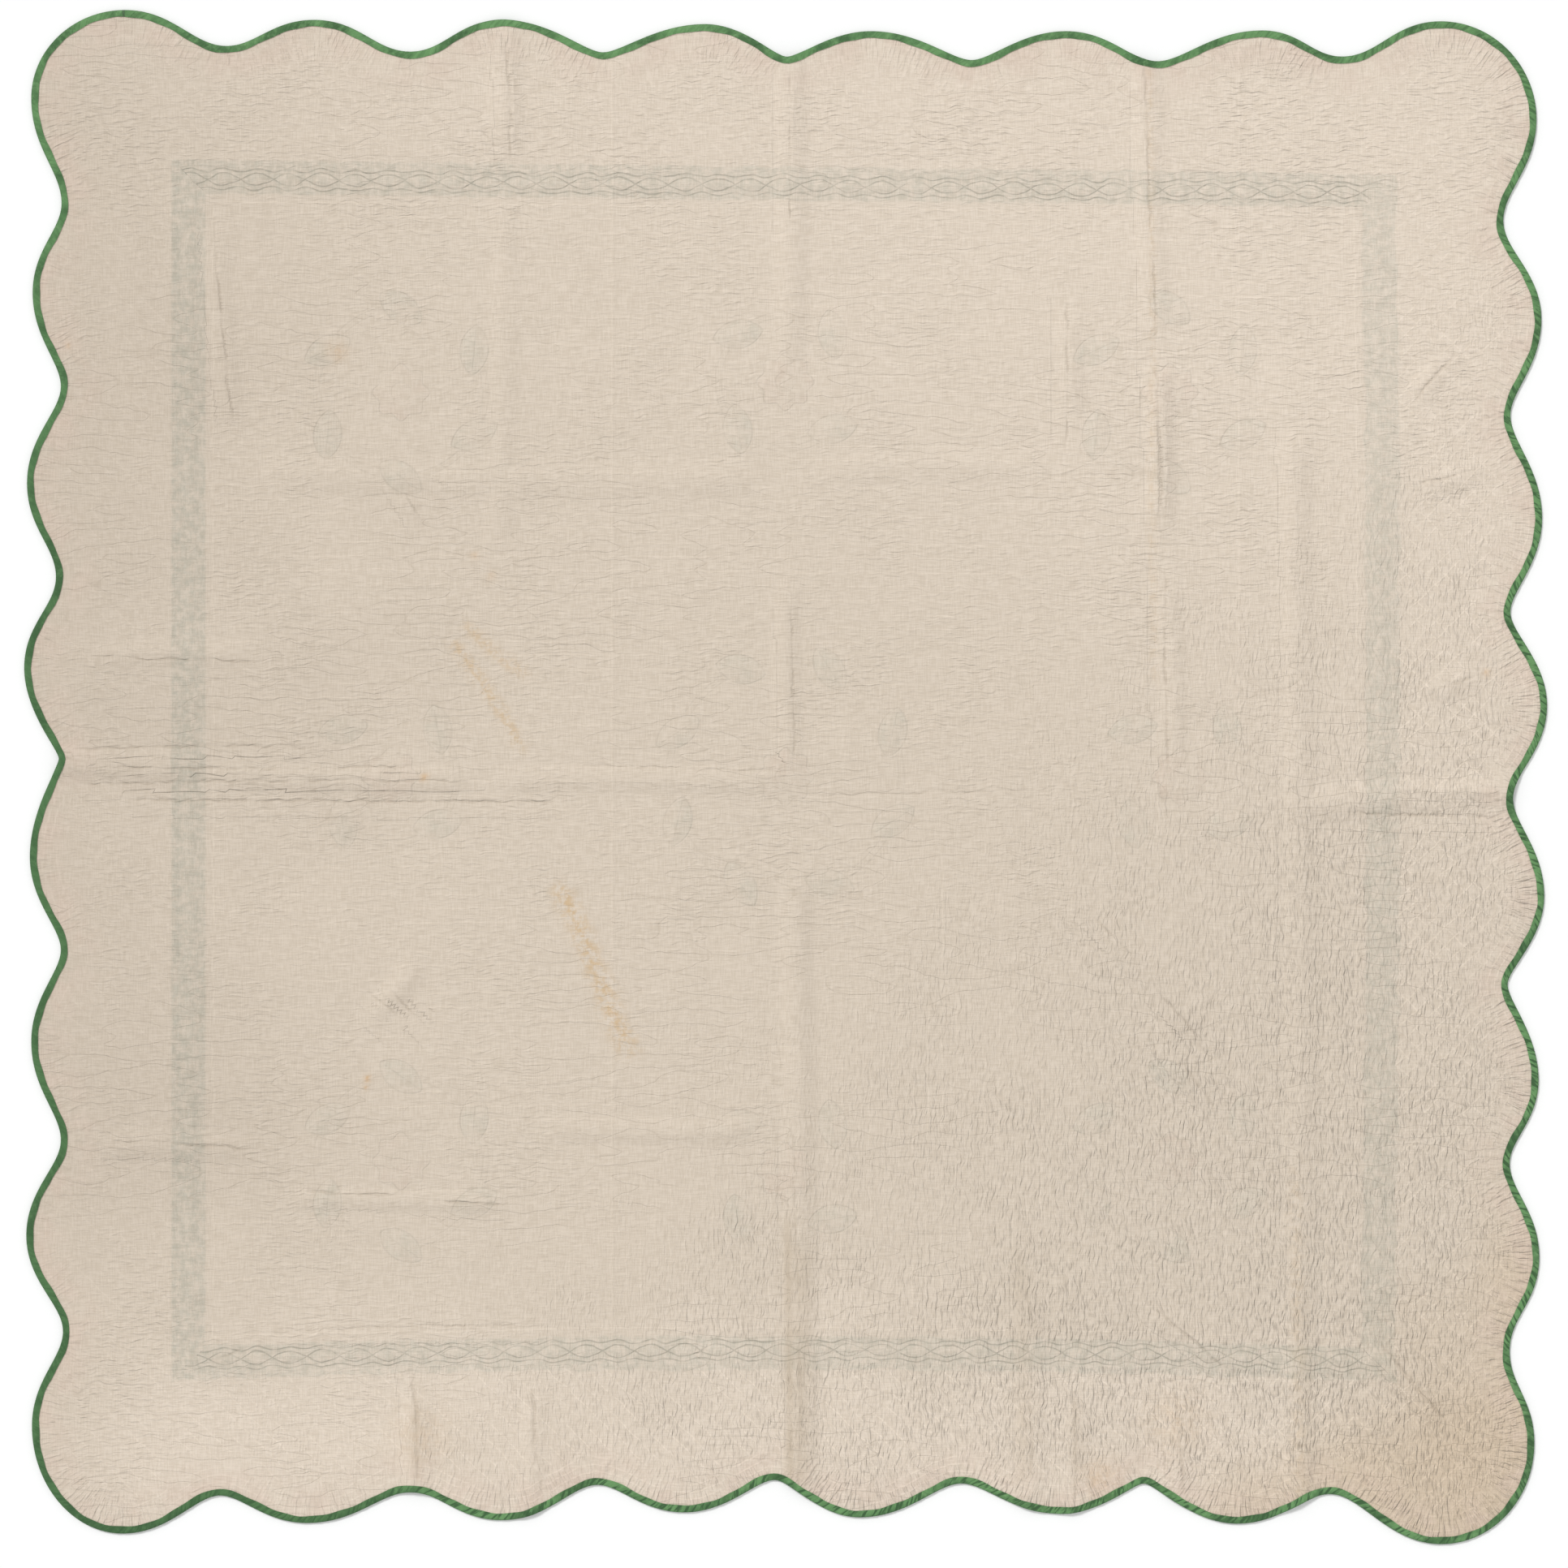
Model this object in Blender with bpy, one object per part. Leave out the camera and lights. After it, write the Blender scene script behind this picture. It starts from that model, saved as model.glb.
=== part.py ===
"""Hand-quilted cotton bedcover, lying flat with its back up: three widths of quilted muslin with
scalloped edges and a narrow folded bias binding. Metres, +Z up, origin under the middle."""

import math

import bmesh
import bpy
from mathutils.geometry import delaunay_2d_cdt

MM = 0.001

# Cloth thicknesses, in millimetres
STITCHED_THICKNESS = 2.6
EDGE_THICKNESS = 2.0
PUFF_FIELD = 1.3
PUFF_CABLE = 1.5
PUFF_LEAF = 1.9
PUFF_FOLD = 0.5
GAP = 0.3

# Bias binding, folded over the edge
BINDING_WIDTH = 10.0
BINDING_CLOTH = 0.9
BINDING_TIP = 0.6
BINDING_ROUND = 1.4

# Backing seams: the full middle width shows 889 mm between them
SEAM_LEFT = -245.3
SEAM_RIGHT = 643.7
SEAM_REACH = 14.0

# Edge scallops, one table a side, clockwise from the top left corner as seen from above.
# Columns: crest along the side, crest reach from the centre, next valley along, valley reach,
# level share at the valley's foot. The last crest of a side belongs to its corner lobe.
SCALLOPS_TOP = (
    (-937, 1088, -793, 1037, 0.33),
    (-669, 1074, -532, 1029, 0.37),
    (-402, 1074, -259, 1028, 0.18),
    (-114, 1068, 2, 1021, 0.14),
    (121, 1058, 264, 1017, 0.20),
    (398, 1058, 525, 1015, 0.26),
    (676, 1059, 789, 1022, 0.37),
    (929, 1072),
)
SCALLOPS_RIGHT = (
    (-933, 1065, -789, 1018, 0.30),
    (-649, 1072, -513, 1028, 0.25),
    (-367, 1073, -234, 1028, 0.22),
    (-101, 1080, 29, 1031, 0.25),
    (169, 1076, 294, 1024, 0.17),
    (430, 1068, 548, 1027, 0.28),
    (681, 1069, 814, 1027, 0.37),
    (945, 1062),
)
SCALLOPS_BOTTOM = (
    (-930, 1088, -772, 1017, 0.28),
    (-640, 1059, -508, 1002, 0.12),
    (-390, 1045, -249, 1002, 0.24),
    (-105, 1050, 16, 997, 0.20),
    (144, 1043, 267, 1004, 0.26),
    (403, 1054, 530, 1014, 0.30),
    (679, 1058, 802, 1019, 0.25),
    (940, 1073),
)
SCALLOPS_LEFT = (
    (-920, 1069, -786, 1025, 0.28),
    (-650, 1077, -515, 1028, 0.27),
    (-375, 1070, -245, 1028, 0.24),
    (-113, 1072, 26, 1030, 0.08),
    (155, 1080, 284, 1035, 0.32),
    (417, 1076, 554, 1028, 0.26),
    (687, 1068, 814, 1027, 0.30),
    (963, 1070),
)
CREST_SHARE = 0.48
CORNER_SHARE = 0.55
STEPS_FLANK = 4
STEPS_CORNER = 6

# Depths of the rings that follow the edge
EDGE_INSET = BINDING_ROUND + GAP
RING_INSET = 12.0
FOOT_INSET = 32.0

# Folds and creases, as they lie. Columns: start x, start y, end x, end y, sideways bow, height,
# half width. Ends past the edge carry the fold out through it.
FOLDS = (
    (5, 1090, 4, 560, 4, 4.5, 30),
    (2, 300, 8, -10, -4, 4.0, 24),
    (11, -118, 20, -1060, 5, 5.5, 30),
    (511, 1085, 528, 596, -5, 4.0, 28),
    (526, 610, 531, 330, 3, 6.0, 27),
    (540, 310, 549, -5, 4, 4.0, 24),
    (719, 505, 728, -1100, 8, 5.0, 32),
    (-396, 1120, -392, 860, -4, 4.5, 32),
    (-402, 860, -410, 300, 6, 2.5, 26),
    (-810, 795, -780, 490, -5, 3.0, 25),
    (400, 690, 403, 480, 3, 3.0, 22),
    (-1090, 22, -815, 6, 3, 5.0, 30),
    (-830, 6, -424, -3, -5, 4.0, 26),
    (-438, -5, 2, -10, 4, 3.0, 24),
    (680, -50, 1095, -20, 6, 5.0, 34),
    (-770, 432, -10, 423, -8, 2.5, 32),
    (14, 429, 384, 440, 6, 2.2, 28),
    (-1000, -524, -735, -530, 5, 3.5, 26),
    (-368, -496, -8, -500, -4, 3.0, 24),
    (-1010, 170, -735, 172, 4, 3.0, 24),
    (-725, -599, -370, -607, 3, 3.0, 18),
    (420, -185, 603, -385, 7, 4.0, 24),
    (513, -346, 620, -489, -6, 4.0, 24),
    (500, -744, 643, -857, 6, 5.0, 28),
    (750, -795, 800, -858, 0, 3.5, 24),
    (829, -784, 949, -926, -7, 5.0, 28),
    (-525, -840, -528, -1070, 4, 4.5, 30),
    (-352, -842, -361, -1100, -4, 3.5, 26),
    (341, -692, 345, -1080, 5, 4.5, 28),
    (556, -842, 548, -1070, 4, 3.5, 26),
    (412, -855, 407, -1110, 0, 3.0, 26),
    (875, 513, 960, 609, 5, 4.0, 26),
    (875, 410, 1010, 442, -5, 4.0, 26),
    (887, 105, 1010, 150, 5, 4.0, 26),
    (-508, -237, -610, -362, 8, 4.0, 26),
    (-558, 425, -508, 346, 0, 2.5, 20),
)
FOLD_FADE = 70.0
FOLD_STEP = 48.0
TALL_FOLD = 3.8
LOW_UNDER = 0.05

# Frame of sewn strips whose cable quilting comes through to the back. Corners are on the cables'
# middle lines; the right and bottom strips lie bowed.
FRAME_TOP_LEFT = (-843, 848)
FRAME_TOP_RIGHT = (838, 828)
FRAME_BOTTOM_RIGHT = (836, -829)
FRAME_BOTTOM_LEFT = (-843, -827)
FRAME_HALF = 847.0
BOW_RIGHT = 6.0
BOW_BOTTOM = 15.0
CABLE_PERIOD = 46.8
CABLE_HALF = 9.0
CABLE_OUTER = 15.5
CABLE_DIP = 11.0
CABLE_SHOULDER = 0.19

# Square quilting of the field: its lines lie 20.4 mm apart and every fourth one is sunk here
FIELD_HALF = 815.0
FIELD_CELLS = 20

# Slanting quilting of the border: half diagonal of the diamonds, and where the border starts
DIAMOND_HALF = 61.0
BORDER_START = 885.0
BORDER_EDGE = 40.0

# Wreaths of leaves round a flower. Columns: centre x, centre y, ring radius, leaf count
WREATHS = (
    (0, 0, 165, 8),
    (-545, 545, 120, 6),
    (545, 545, 120, 6),
    (545, -545, 120, 6),
    (-545, -545, 120, 6),
    (0, 560, 95, 4),
    (560, 0, 95, 4),
    (0, -560, 95, 4),
    (-560, 0, 95, 4),
)
LEAF_LENGTH = 72.0
LEAF_WIDTH = 40.0
LEAF_SLANT = math.radians(35)
LEAF_SHOULDER_ALONG = 0.4
LEAF_SHOULDER_SIDE = 0.8
LEAF_VEIN = 0.35
FLOWER_RADIUS = 42.0
FLOWER_SIDES = 8

# Flat rest face under the middle width
REST_CENTRE = (200.0, 200.0)
REST_HALF = 100.0

# Least distances between places of folds and puffs, between sewn marks, and between a place and a
# sewn line; how far round a place its lines are looked for; and lengths past the whole quilt
CLOSE = 15.0
MARK_REACH = 6.0
LINE_CLEAR = 7.0
LINE_SEARCH = 100.0
QUILT_REACH = 1100.0
FOOT_EVERY = 3
JOIN_TOLERANCE = 0.002
SHARP_ANGLE = math.radians(40)

MUSLIN = (0.694, 0.604, 0.503, 1.0)
BINDING_GREEN = (0.076, 0.262, 0.084, 1.0)


def bezier(p0, p1, p2, p3, t):
    """Point and unit tangent of a cubic curve at share t."""
    s = 1.0 - t
    point = []
    slope = []
    for a, b, c, d in zip(p0, p1, p2, p3):
        point.append(s**3 * a + 3 * s * s * t * b + 3 * s * t * t * c + t**3 * d)
        slope.append(s * s * (b - a) + 2 * s * t * (c - b) + t * t * (d - c))
    size = math.hypot(*slope)
    return point, (slope[0] / size, slope[1] / size)


def turned(along, reach, side):
    """Place on a side (0 top, 1 right, 2 bottom, 3 left) in plan coordinates."""
    return ((along, reach), (reach, -along), (-along, -reach), (-reach, along))[side]


def curve_points(start, start_way, start_run, end, end_way, end_run, steps):
    """Steps along a cubic curve between two places with given end directions, last one left out."""
    p1 = (start[0] + start_way[0] * start_run, start[1] + start_way[1] * start_run)
    p2 = (end[0] - end_way[0] * end_run, end[1] - end_way[1] * end_run)
    return [bezier(start, p1, p2, end, k / steps) for k in range(steps)]


def outline_stations():
    """Stations clockwise round the edge: place and unit tangent at each."""
    sides = (SCALLOPS_TOP, SCALLOPS_RIGHT, SCALLOPS_BOTTOM, SCALLOPS_LEFT)
    stations = []
    for side, rows in enumerate(sides):
        way = turned(1, 0, side)
        places = []
        for row in rows:
            places.append((row[0], row[1], CREST_SHARE))
            if len(row) > 2:
                places.append((row[2], row[3], row[4]))
        for (a0, r0, s0), (a1, r1, s1) in zip(places[:-1], places[1:]):
            run = a1 - a0
            stations += curve_points(turned(a0, r0, side), way, s0 * run,
                                     turned(a1, r1, side), way, s1 * run, STEPS_FLANK)
        following = sides[(side + 1) % 4]
        start = turned(rows[-1][0], rows[-1][1], side)
        end = turned(following[0][0], following[0][1], (side + 1) % 4)
        next_way = turned(1, 0, (side + 1) % 4)
        span = (abs(end[0] - start[0]), abs(end[1] - start[1]))
        level = span[side % 2]
        upright = span[1 - side % 2]
        stations += curve_points(start, way, CORNER_SHARE * level,
                                 end, next_way, CORNER_SHARE * upright, STEPS_CORNER)
    return stations


def with_seam_stations(stations):
    """Move the station nearest each seam crossing onto the seam, so both rings meet it there."""
    moved = list(stations)
    count = len(stations)
    for seam in (SEAM_LEFT, SEAM_RIGHT):
        for upper in (True, False):
            best = None
            for k in range(count):
                (x0, y0), _ = stations[k]
                (x1, y1), _ = stations[(k + 1) % count]
                if (x0 - seam) * (x1 - seam) <= 0 and (y0 > 0) == upper:
                    share = (seam - x0) / (x1 - x0)
                    near = k if share < 0.5 else (k + 1) % count
                    best = (near, (seam, y0 + share * (y1 - y0)))
            near, place = best
            moved[near] = (place, stations[near][1])
    return moved


def inset(station, depth):
    """Place a depth inside the edge. Stations on a seam stay on it."""
    (x, y), (tx, ty) = station
    if x in (SEAM_LEFT, SEAM_RIGHT):
        return x, y - math.copysign(depth, y)
    return x + ty * depth, y - tx * depth


def fold_line(fold, t):
    """Place on a fold's bowed middle line at share t, with the unit vector across it."""
    x0, y0, x1, y1, bow = fold[:5]
    length = math.hypot(x1 - x0, y1 - y0)
    nx = -(y1 - y0) / length
    ny = (x1 - x0) / length
    side = bow * 4 * t * (1 - t)
    return (x0 + (x1 - x0) * t + nx * side, y0 + (y1 - y0) * t + ny * side), (nx, ny)


def lift(x, y):
    """Height of the underside over the surface: the tallest fold here. A fold is a smooth ridge,
    (1 - (across / half width)^2)^2, that fades over FOLD_FADE at both ends."""
    tallest = 0.0
    for x0, y0, x1, y1, bow, height, half in FOLDS:
        dx, dy = x1 - x0, y1 - y0
        length = math.hypot(dx, dy)
        t = ((x - x0) * dx + (y - y0) * dy) / length**2
        if not 0 < t < 1:
            continue
        across = ((y - y0) * dx - (x - x0) * dy) / length - bow * 4 * t * (1 - t)
        if abs(across) >= half:
            continue
        end = min(1.0, min(t, 1 - t) * length / FOLD_FADE)
        tallest = max(tallest, height * end * end * (3 - 2 * end) * (1 - (across / half) ** 2) ** 2)
    return tallest


def frame_place(u, v):
    """Plan place of frame coordinates, where the cables' middle lines are u or v = -1 or 1: the
    four corners are blended, and the right and bottom strips' bows are added."""
    x = y = 0.0
    for (cx, cy), weight in ((FRAME_TOP_LEFT, (1 - u) * (1 + v)), (FRAME_TOP_RIGHT, (1 + u) * (1 + v)),
                             (FRAME_BOTTOM_RIGHT, (1 + u) * (1 - v)),
                             (FRAME_BOTTOM_LEFT, (1 - u) * (1 - v))):
        x += cx * weight / 4
        y += cy * weight / 4
    x += BOW_RIGHT * (1 - v * v) * (1 + u) / 2
    y += BOW_BOTTOM * (1 - u * u) * (1 - v) / 2
    return x, y


class Pattern:
    """Places to be joined into one skin: each has a puff height, and sewn lines join some."""

    def __init__(self):
        self.places = []
        self.puffs = []
        self.lines = []
        self.cells = {}

    def nearby(self, x, y, reach):
        """Index of a place closer than reach, or None."""
        cx, cy = int(x // CLOSE), int(y // CLOSE)
        for i in (cx - 1, cx, cx + 1):
            for j in (cy - 1, cy, cy + 1):
                for k in self.cells.get((i, j), ()):
                    px, py = self.places[k]
                    if math.hypot(px - x, py - y) < reach:
                        return k
        return None

    def fix(self, x, y, puff=0.0):
        """Add a place as it is."""
        self.places.append((x, y))
        self.puffs.append(puff)
        self.cells.setdefault((int(x // CLOSE), int(y // CLOSE)), []).append(len(self.places) - 1)
        return len(self.places) - 1

    def add(self, x, y, puff=0.0, reach=MARK_REACH):
        """Add a place, unless one lies within reach, whose index is then given. Close to a seam
        only the seam's own places are used."""
        for seam in (SEAM_LEFT, SEAM_RIGHT):
            if abs(x - seam) < SEAM_REACH:
                return self.nearby(seam, y, CLOSE)
        found = self.nearby(x, y, reach)
        if found is not None:
            return found
        return self.fix(x, y, puff)

    def join(self, a, b):
        """A sewn line between two places, left out where it would cross a seam."""
        if a is None or b is None or a == b:
            return
        ax, bx = self.places[a][0], self.places[b][0]
        for seam in (SEAM_LEFT, SEAM_RIGHT):
            if (ax - seam) * (bx - seam) < 0:
                return
        self.lines.append((a, b))

    def beside_line(self, x, y):
        """Whether a place lies so close beside a sewn line that a thin face would form."""
        for a, b in self.lines:
            ax, ay = self.places[a]
            bx, by = self.places[b]
            if max(abs(ax - x), abs(ay - y)) > LINE_SEARCH:
                continue
            dx, dy = bx - ax, by - ay
            t = min(1.0, max(0.0, ((x - ax) * dx + (y - ay) * dy) / (dx * dx + dy * dy)))
            if math.hypot(ax + t * dx - x, ay + t * dy - y) < LINE_CLEAR:
                return True
        return False

    def skin(self, ring_count):
        """Triangles inside the ring that the first places form, as points, puffs and faces."""
        points, _, faces, origins, _, _ = delaunay_2d_cdt(
            self.places, self.lines, [list(range(ring_count))], 1, JOIN_TOLERANCE)
        puffs = [max((self.puffs[k] for k in origin), default=0.0) for origin in origins]
        exact = [self.places[origin[0]] if origin else (point[0], point[1])
                 for point, origin in zip(points, origins)]
        return exact, puffs, faces


def seam_rows():
    """Heights of the places on a seam, on the field's quilting lines and halfway between."""
    step = FIELD_HALF * 2 / FIELD_CELLS / 2
    count = int(FRAME_HALF * 2 / step / 2) + 3
    return [step * k for k in range(-count, count + 1)]


def ring_and_seams(pattern, ring):
    """The ring under the binding's inner edge, and the two seams from ring to ring."""
    for x, y in ring:
        pattern.fix(x, y)
    for seam in (SEAM_LEFT, SEAM_RIGHT):
        ends = [k for k, place in enumerate(ring) if place[0] == seam]
        ends.sort(key=lambda k: ring[k][1])
        low, high = ring[ends[0]][1], ring[ends[1]][1]
        chain = [ends[0]]
        for y in seam_rows():
            if low + CLOSE < y < high - CLOSE:
                chain.append(pattern.fix(seam, y))
        chain.append(ends[1])
        for a, b in zip(chain[:-1], chain[1:]):
            pattern.lines.append((a, b))


def leaves():
    """Every leaf as its centre and direction, slanting off its wreath's ring."""
    found = []
    for cx, cy, radius, count in WREATHS:
        for k in range(count):
            angle = 2 * math.pi * (k + 0.5) / count
            found.append((cx + radius * math.cos(angle), cy + radius * math.sin(angle),
                          angle + math.pi / 2 - LEAF_SLANT))
    return found


def in_motif(x, y):
    """Whether a place lies on a leaf or a flower, or close to its rim."""
    for cx, cy, _, _ in WREATHS:
        if math.hypot(x - cx, y - cy) < FLOWER_RADIUS + CLOSE / 2:
            return True
    for lx, ly, angle in leaves():
        along = ((x - lx) * math.cos(angle) + (y - ly) * math.sin(angle)) / (LEAF_LENGTH / 2 + CLOSE)
        across = ((y - ly) * math.cos(angle) - (x - lx) * math.sin(angle)) / (LEAF_WIDTH / 2 + CLOSE / 2)
        if along * along + across * across < 1:
            return True
    return False


def add_leaf(pattern, x, y, angle):
    """Pointed oval with a low sewn rim and a raised middle."""
    half = LEAF_LENGTH / 2
    shoulder = half * LEAF_SHOULDER_ALONG
    side = LEAF_WIDTH / 2 * LEAF_SHOULDER_SIDE
    rim = ((-half, 0), (-shoulder, side), (shoulder, side), (half, 0), (shoulder, -side),
           (-shoulder, -side))
    cos, sin = math.cos(angle), math.sin(angle)
    marks = [pattern.add(x + a * cos - b * sin, y + a * sin + b * cos) for a, b in rim]
    for k, mark in enumerate(marks):
        pattern.join(mark, marks[(k + 1) % len(marks)])
    for a in (-half * LEAF_VEIN, half * LEAF_VEIN):
        pattern.add(x + a * cos, y + a * sin, PUFF_LEAF)


def add_flower(pattern, x, y):
    """Round pad with a low rim and a raised middle."""
    marks = []
    for k in range(FLOWER_SIDES):
        angle = 2 * math.pi * k / FLOWER_SIDES
        marks.append(pattern.add(x + FLOWER_RADIUS * math.cos(angle),
                                 y + FLOWER_RADIUS * math.sin(angle)))
    for k, mark in enumerate(marks):
        pattern.join(mark, marks[(k + 1) % FLOWER_SIDES])
    pattern.add(x, y, PUFF_LEAF)


def cable_place(side, along, across):
    """Plan place on a strip: along runs -1 to 1 clockwise, across is outward in millimetres."""
    u, v = turned(along, 1 + across / FRAME_HALF, side)
    return frame_place(u, v)


def add_cable(pattern, side):
    """One strip's cable: lens after lens, tip to tip, each with a raised middle, between two
    outer lines that dip at the tips."""
    count = round(2 * FRAME_HALF / CABLE_PERIOD) - 1
    period = 2.0 / (count + 1)
    tip = None
    outer = [None, None]
    for k in range(count + 1):
        at = -1 + period * (k + 0.5)
        next_tip = pattern.add(*cable_place(side, at, 0))
        dips = [pattern.add(*cable_place(side, at, sign * CABLE_DIP)) for sign in (1, -1)]
        if tip is not None:
            middle = at - period / 2
            pattern.add(*cable_place(side, middle, 0), PUFF_CABLE)
            for sign, mark in ((1, 0), (-1, 1)):
                shoulders = [pattern.add(*cable_place(side, middle + shift * period, sign * CABLE_HALF))
                             for shift in (-CABLE_SHOULDER, CABLE_SHOULDER)]
                pattern.join(tip, shoulders[0])
                pattern.join(shoulders[0], shoulders[1])
                pattern.join(shoulders[1], next_tip)
                crest = pattern.add(*cable_place(side, middle, sign * CABLE_OUTER))
                pattern.join(outer[mark], crest)
                pattern.join(crest, dips[mark])
        tip = next_tip
        outer = dips


def add_field(pattern):
    """Square quilting inside the frame: sunk lines with a raised middle in each square."""
    share = FIELD_HALF / FRAME_HALF
    marks = {}
    for i in range(FIELD_CELLS + 1):
        for j in range(FIELD_CELLS + 1):
            x, y = frame_place(share * (2 * i / FIELD_CELLS - 1), share * (2 * j / FIELD_CELLS - 1))
            if not in_motif(x, y):
                marks[i, j] = pattern.add(x, y, 0.0, CLOSE)
    for (i, j), mark in marks.items():
        for neighbour in ((i + 1, j), (i, j + 1)):
            if neighbour in marks and marks[neighbour] is not None and mark is not None:
                ax, ay = pattern.places[mark]
                bx, by = pattern.places[marks[neighbour]]
                if not any(in_motif(ax + (bx - ax) * k / 4, ay + (by - ay) * k / 4) for k in (1, 2, 3)):
                    pattern.join(mark, marks[neighbour])
    for i in range(FIELD_CELLS):
        for j in range(FIELD_CELLS):
            x, y = frame_place(share * ((2 * i + 1) / FIELD_CELLS - 1),
                               share * ((2 * j + 1) / FIELD_CELLS - 1))
            if not in_motif(x, y):
                pattern.add(x, y, PUFF_FIELD, CLOSE)


def add_border(pattern, ring):
    """Slanting quilting outside the frame: diamonds with sunk lines and raised middles."""
    reach = int(QUILT_REACH / DIAMOND_HALF)
    marks = {}
    for i in range(-reach, reach + 1):
        for j in range(-reach, reach + 1):
            x, y = i * DIAMOND_HALF, j * DIAMOND_HALF
            if max(abs(x), abs(y)) < BORDER_START or not inside(ring, x, y):
                continue
            if min(math.hypot(x - rx, y - ry) for rx, ry in ring) < BORDER_EDGE:
                continue
            low = (i + j) % 2 == 0
            mark = pattern.add(x, y, 0.0 if low else PUFF_FIELD, CLOSE)
            if low:
                marks[i, j] = mark
    for (i, j), mark in marks.items():
        for neighbour in ((i + 1, j + 1), (i + 1, j - 1)):
            pattern.join(mark, marks.get(neighbour))


def inside(ring, x, y):
    """Whether a place lies inside a closed ring of places."""
    crossings = 0
    for (x0, y0), (x1, y1) in zip(ring, ring[1:] + ring[:1]):
        if (y0 > y) != (y1 > y) and x < x0 + (y - y0) * (x1 - x0) / (y1 - y0):
            crossings += 1
    return crossings % 2 == 1


def add_folds(pattern, ring, puff):
    """Places along every fold: its ridge, its feet and, on tall folds, its flanks."""
    for fold in FOLDS:
        length = math.hypot(fold[2] - fold[0], fold[3] - fold[1])
        steps = max(2, round(length / FOLD_STEP))
        shares = (0.0, -0.5, 0.5, -1.0, 1.0) if fold[5] >= TALL_FOLD else (0.0, -1.0, 1.0)
        for k in range(steps + 1):
            (x, y), (nx, ny) = fold_line(fold, k / steps)
            for share in shares:
                px, py = x + nx * share * fold[6], y + ny * share * fold[6]
                if not inside(ring, px, py):
                    continue
                if min(math.hypot(px - rx, py - ry) for rx, ry in ring) < CLOSE:
                    continue
                if not pattern.beside_line(px, py):
                    pattern.add(px, py, puff, CLOSE)


def top_skin(ring):
    """Upper face inside the ring, with every quilted form raised."""
    pattern = Pattern()
    ring_and_seams(pattern, ring)
    for x, y, angle in leaves():
        add_leaf(pattern, x, y, angle)
    for x, y, _, _ in WREATHS:
        add_flower(pattern, x, y)
    for side in range(4):
        add_cable(pattern, side)
    add_field(pattern)
    add_border(pattern, ring)
    add_folds(pattern, ring, PUFF_FOLD)
    return pattern.skin(len(ring))


def under_skin(ring, foot_ring):
    """Underside inside the ring: it lies on the surface, and rises only in the folds."""
    pattern = Pattern()
    ring_and_seams(pattern, ring)
    for x, y in foot_ring[::FOOT_EVERY]:
        pattern.add(x, y, 0.0, CLOSE)
    corners = [(REST_CENTRE[0] + a * REST_HALF, REST_CENTRE[1] + b * REST_HALF)
               for a, b in ((-1, -1), (1, -1), (1, 1), (-1, 1))]
    marks = [pattern.add(x, y) for x, y in corners]
    for k, mark in enumerate(marks):
        pattern.join(mark, marks[(k + 1) % 4])
    add_folds(pattern, ring, 0.0)
    return pattern.skin(len(ring))


def section_heights(stations):
    """Rise of the binding and the cloth's edge at each station, where folds run out."""
    return [lift(*inset(station, RING_INSET)) for station in stations]


def placed(skin, count, rim_level, rises, height):
    """Triangles of (x, y, z) of a skin: its ring lies at the rim's level, the rest at a height."""
    points, puffs, faces = skin
    corners = []
    for k, (x, y) in enumerate(points):
        z = rim_level + rises[k] if k < count else height(x, y, puffs[k])
        corners.append((x, y, z))
    return [[corners[k] for k in face] for face in faces]


def quilted_height(x, y, puff):
    """Height of the upper face."""
    return STITCHED_THICKNESS + puff + lift(x, y)


def under_height(x, y, _puff):
    """Height of the underside, level on the surface where no fold lifts it."""
    rise = lift(x, y)
    return rise if rise > LOW_UNDER else 0.0


def quilt_faces(stations):
    """Upper and under faces of the whole quilt, with the level rim that the binding holds."""
    rises = section_heights(stations)
    edge = [inset(station, EDGE_INSET) for station in stations]
    ring = [inset(station, RING_INSET) for station in stations]
    foot = [inset(station, FOOT_INSET) for station in stations]
    low = BINDING_CLOTH + GAP
    high = low + EDGE_THICKNESS
    count = len(stations)
    top = placed(top_skin(ring), count, high, rises, quilted_height)
    under = placed(under_skin(ring, foot), count, low, rises, under_height)
    for k in range(count):
        n = (k + 1) % count
        for faces, level in ((top, high), (under, low)):
            here, there = level + rises[k], level + rises[n]
            faces.append([(*edge[k], here), (*edge[n], there), (*ring[n], there)])
            faces.append([(*edge[k], here), (*ring[n], there), (*ring[k], here)])
    return top, under


def fabric(name, colour, roughness):
    """Plain cloth material."""
    material = bpy.data.materials.new(name)
    material.use_nodes = True
    shader = material.node_tree.nodes["Principled BSDF"]
    shader.inputs["Base Color"].default_value = colour
    shader.inputs["Roughness"].default_value = roughness
    shader.inputs["Metallic"].default_value = 0.0
    return material


def object_from(name, mesh_builder, material):
    """Object of a bmesh whose faces are turned outwards, shaded smooth except at sharp edges."""
    bmesh.ops.recalc_face_normals(mesh_builder, faces=mesh_builder.faces)
    mesh = bpy.data.meshes.new(name)
    mesh_builder.to_mesh(mesh)
    mesh_builder.free()
    mesh.shade_smooth()
    mesh.set_sharp_from_angle(angle=SHARP_ANGLE)
    mesh.materials.append(material)
    piece = bpy.data.objects.new(name, mesh)
    bpy.context.collection.objects.link(piece)
    return piece


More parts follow.
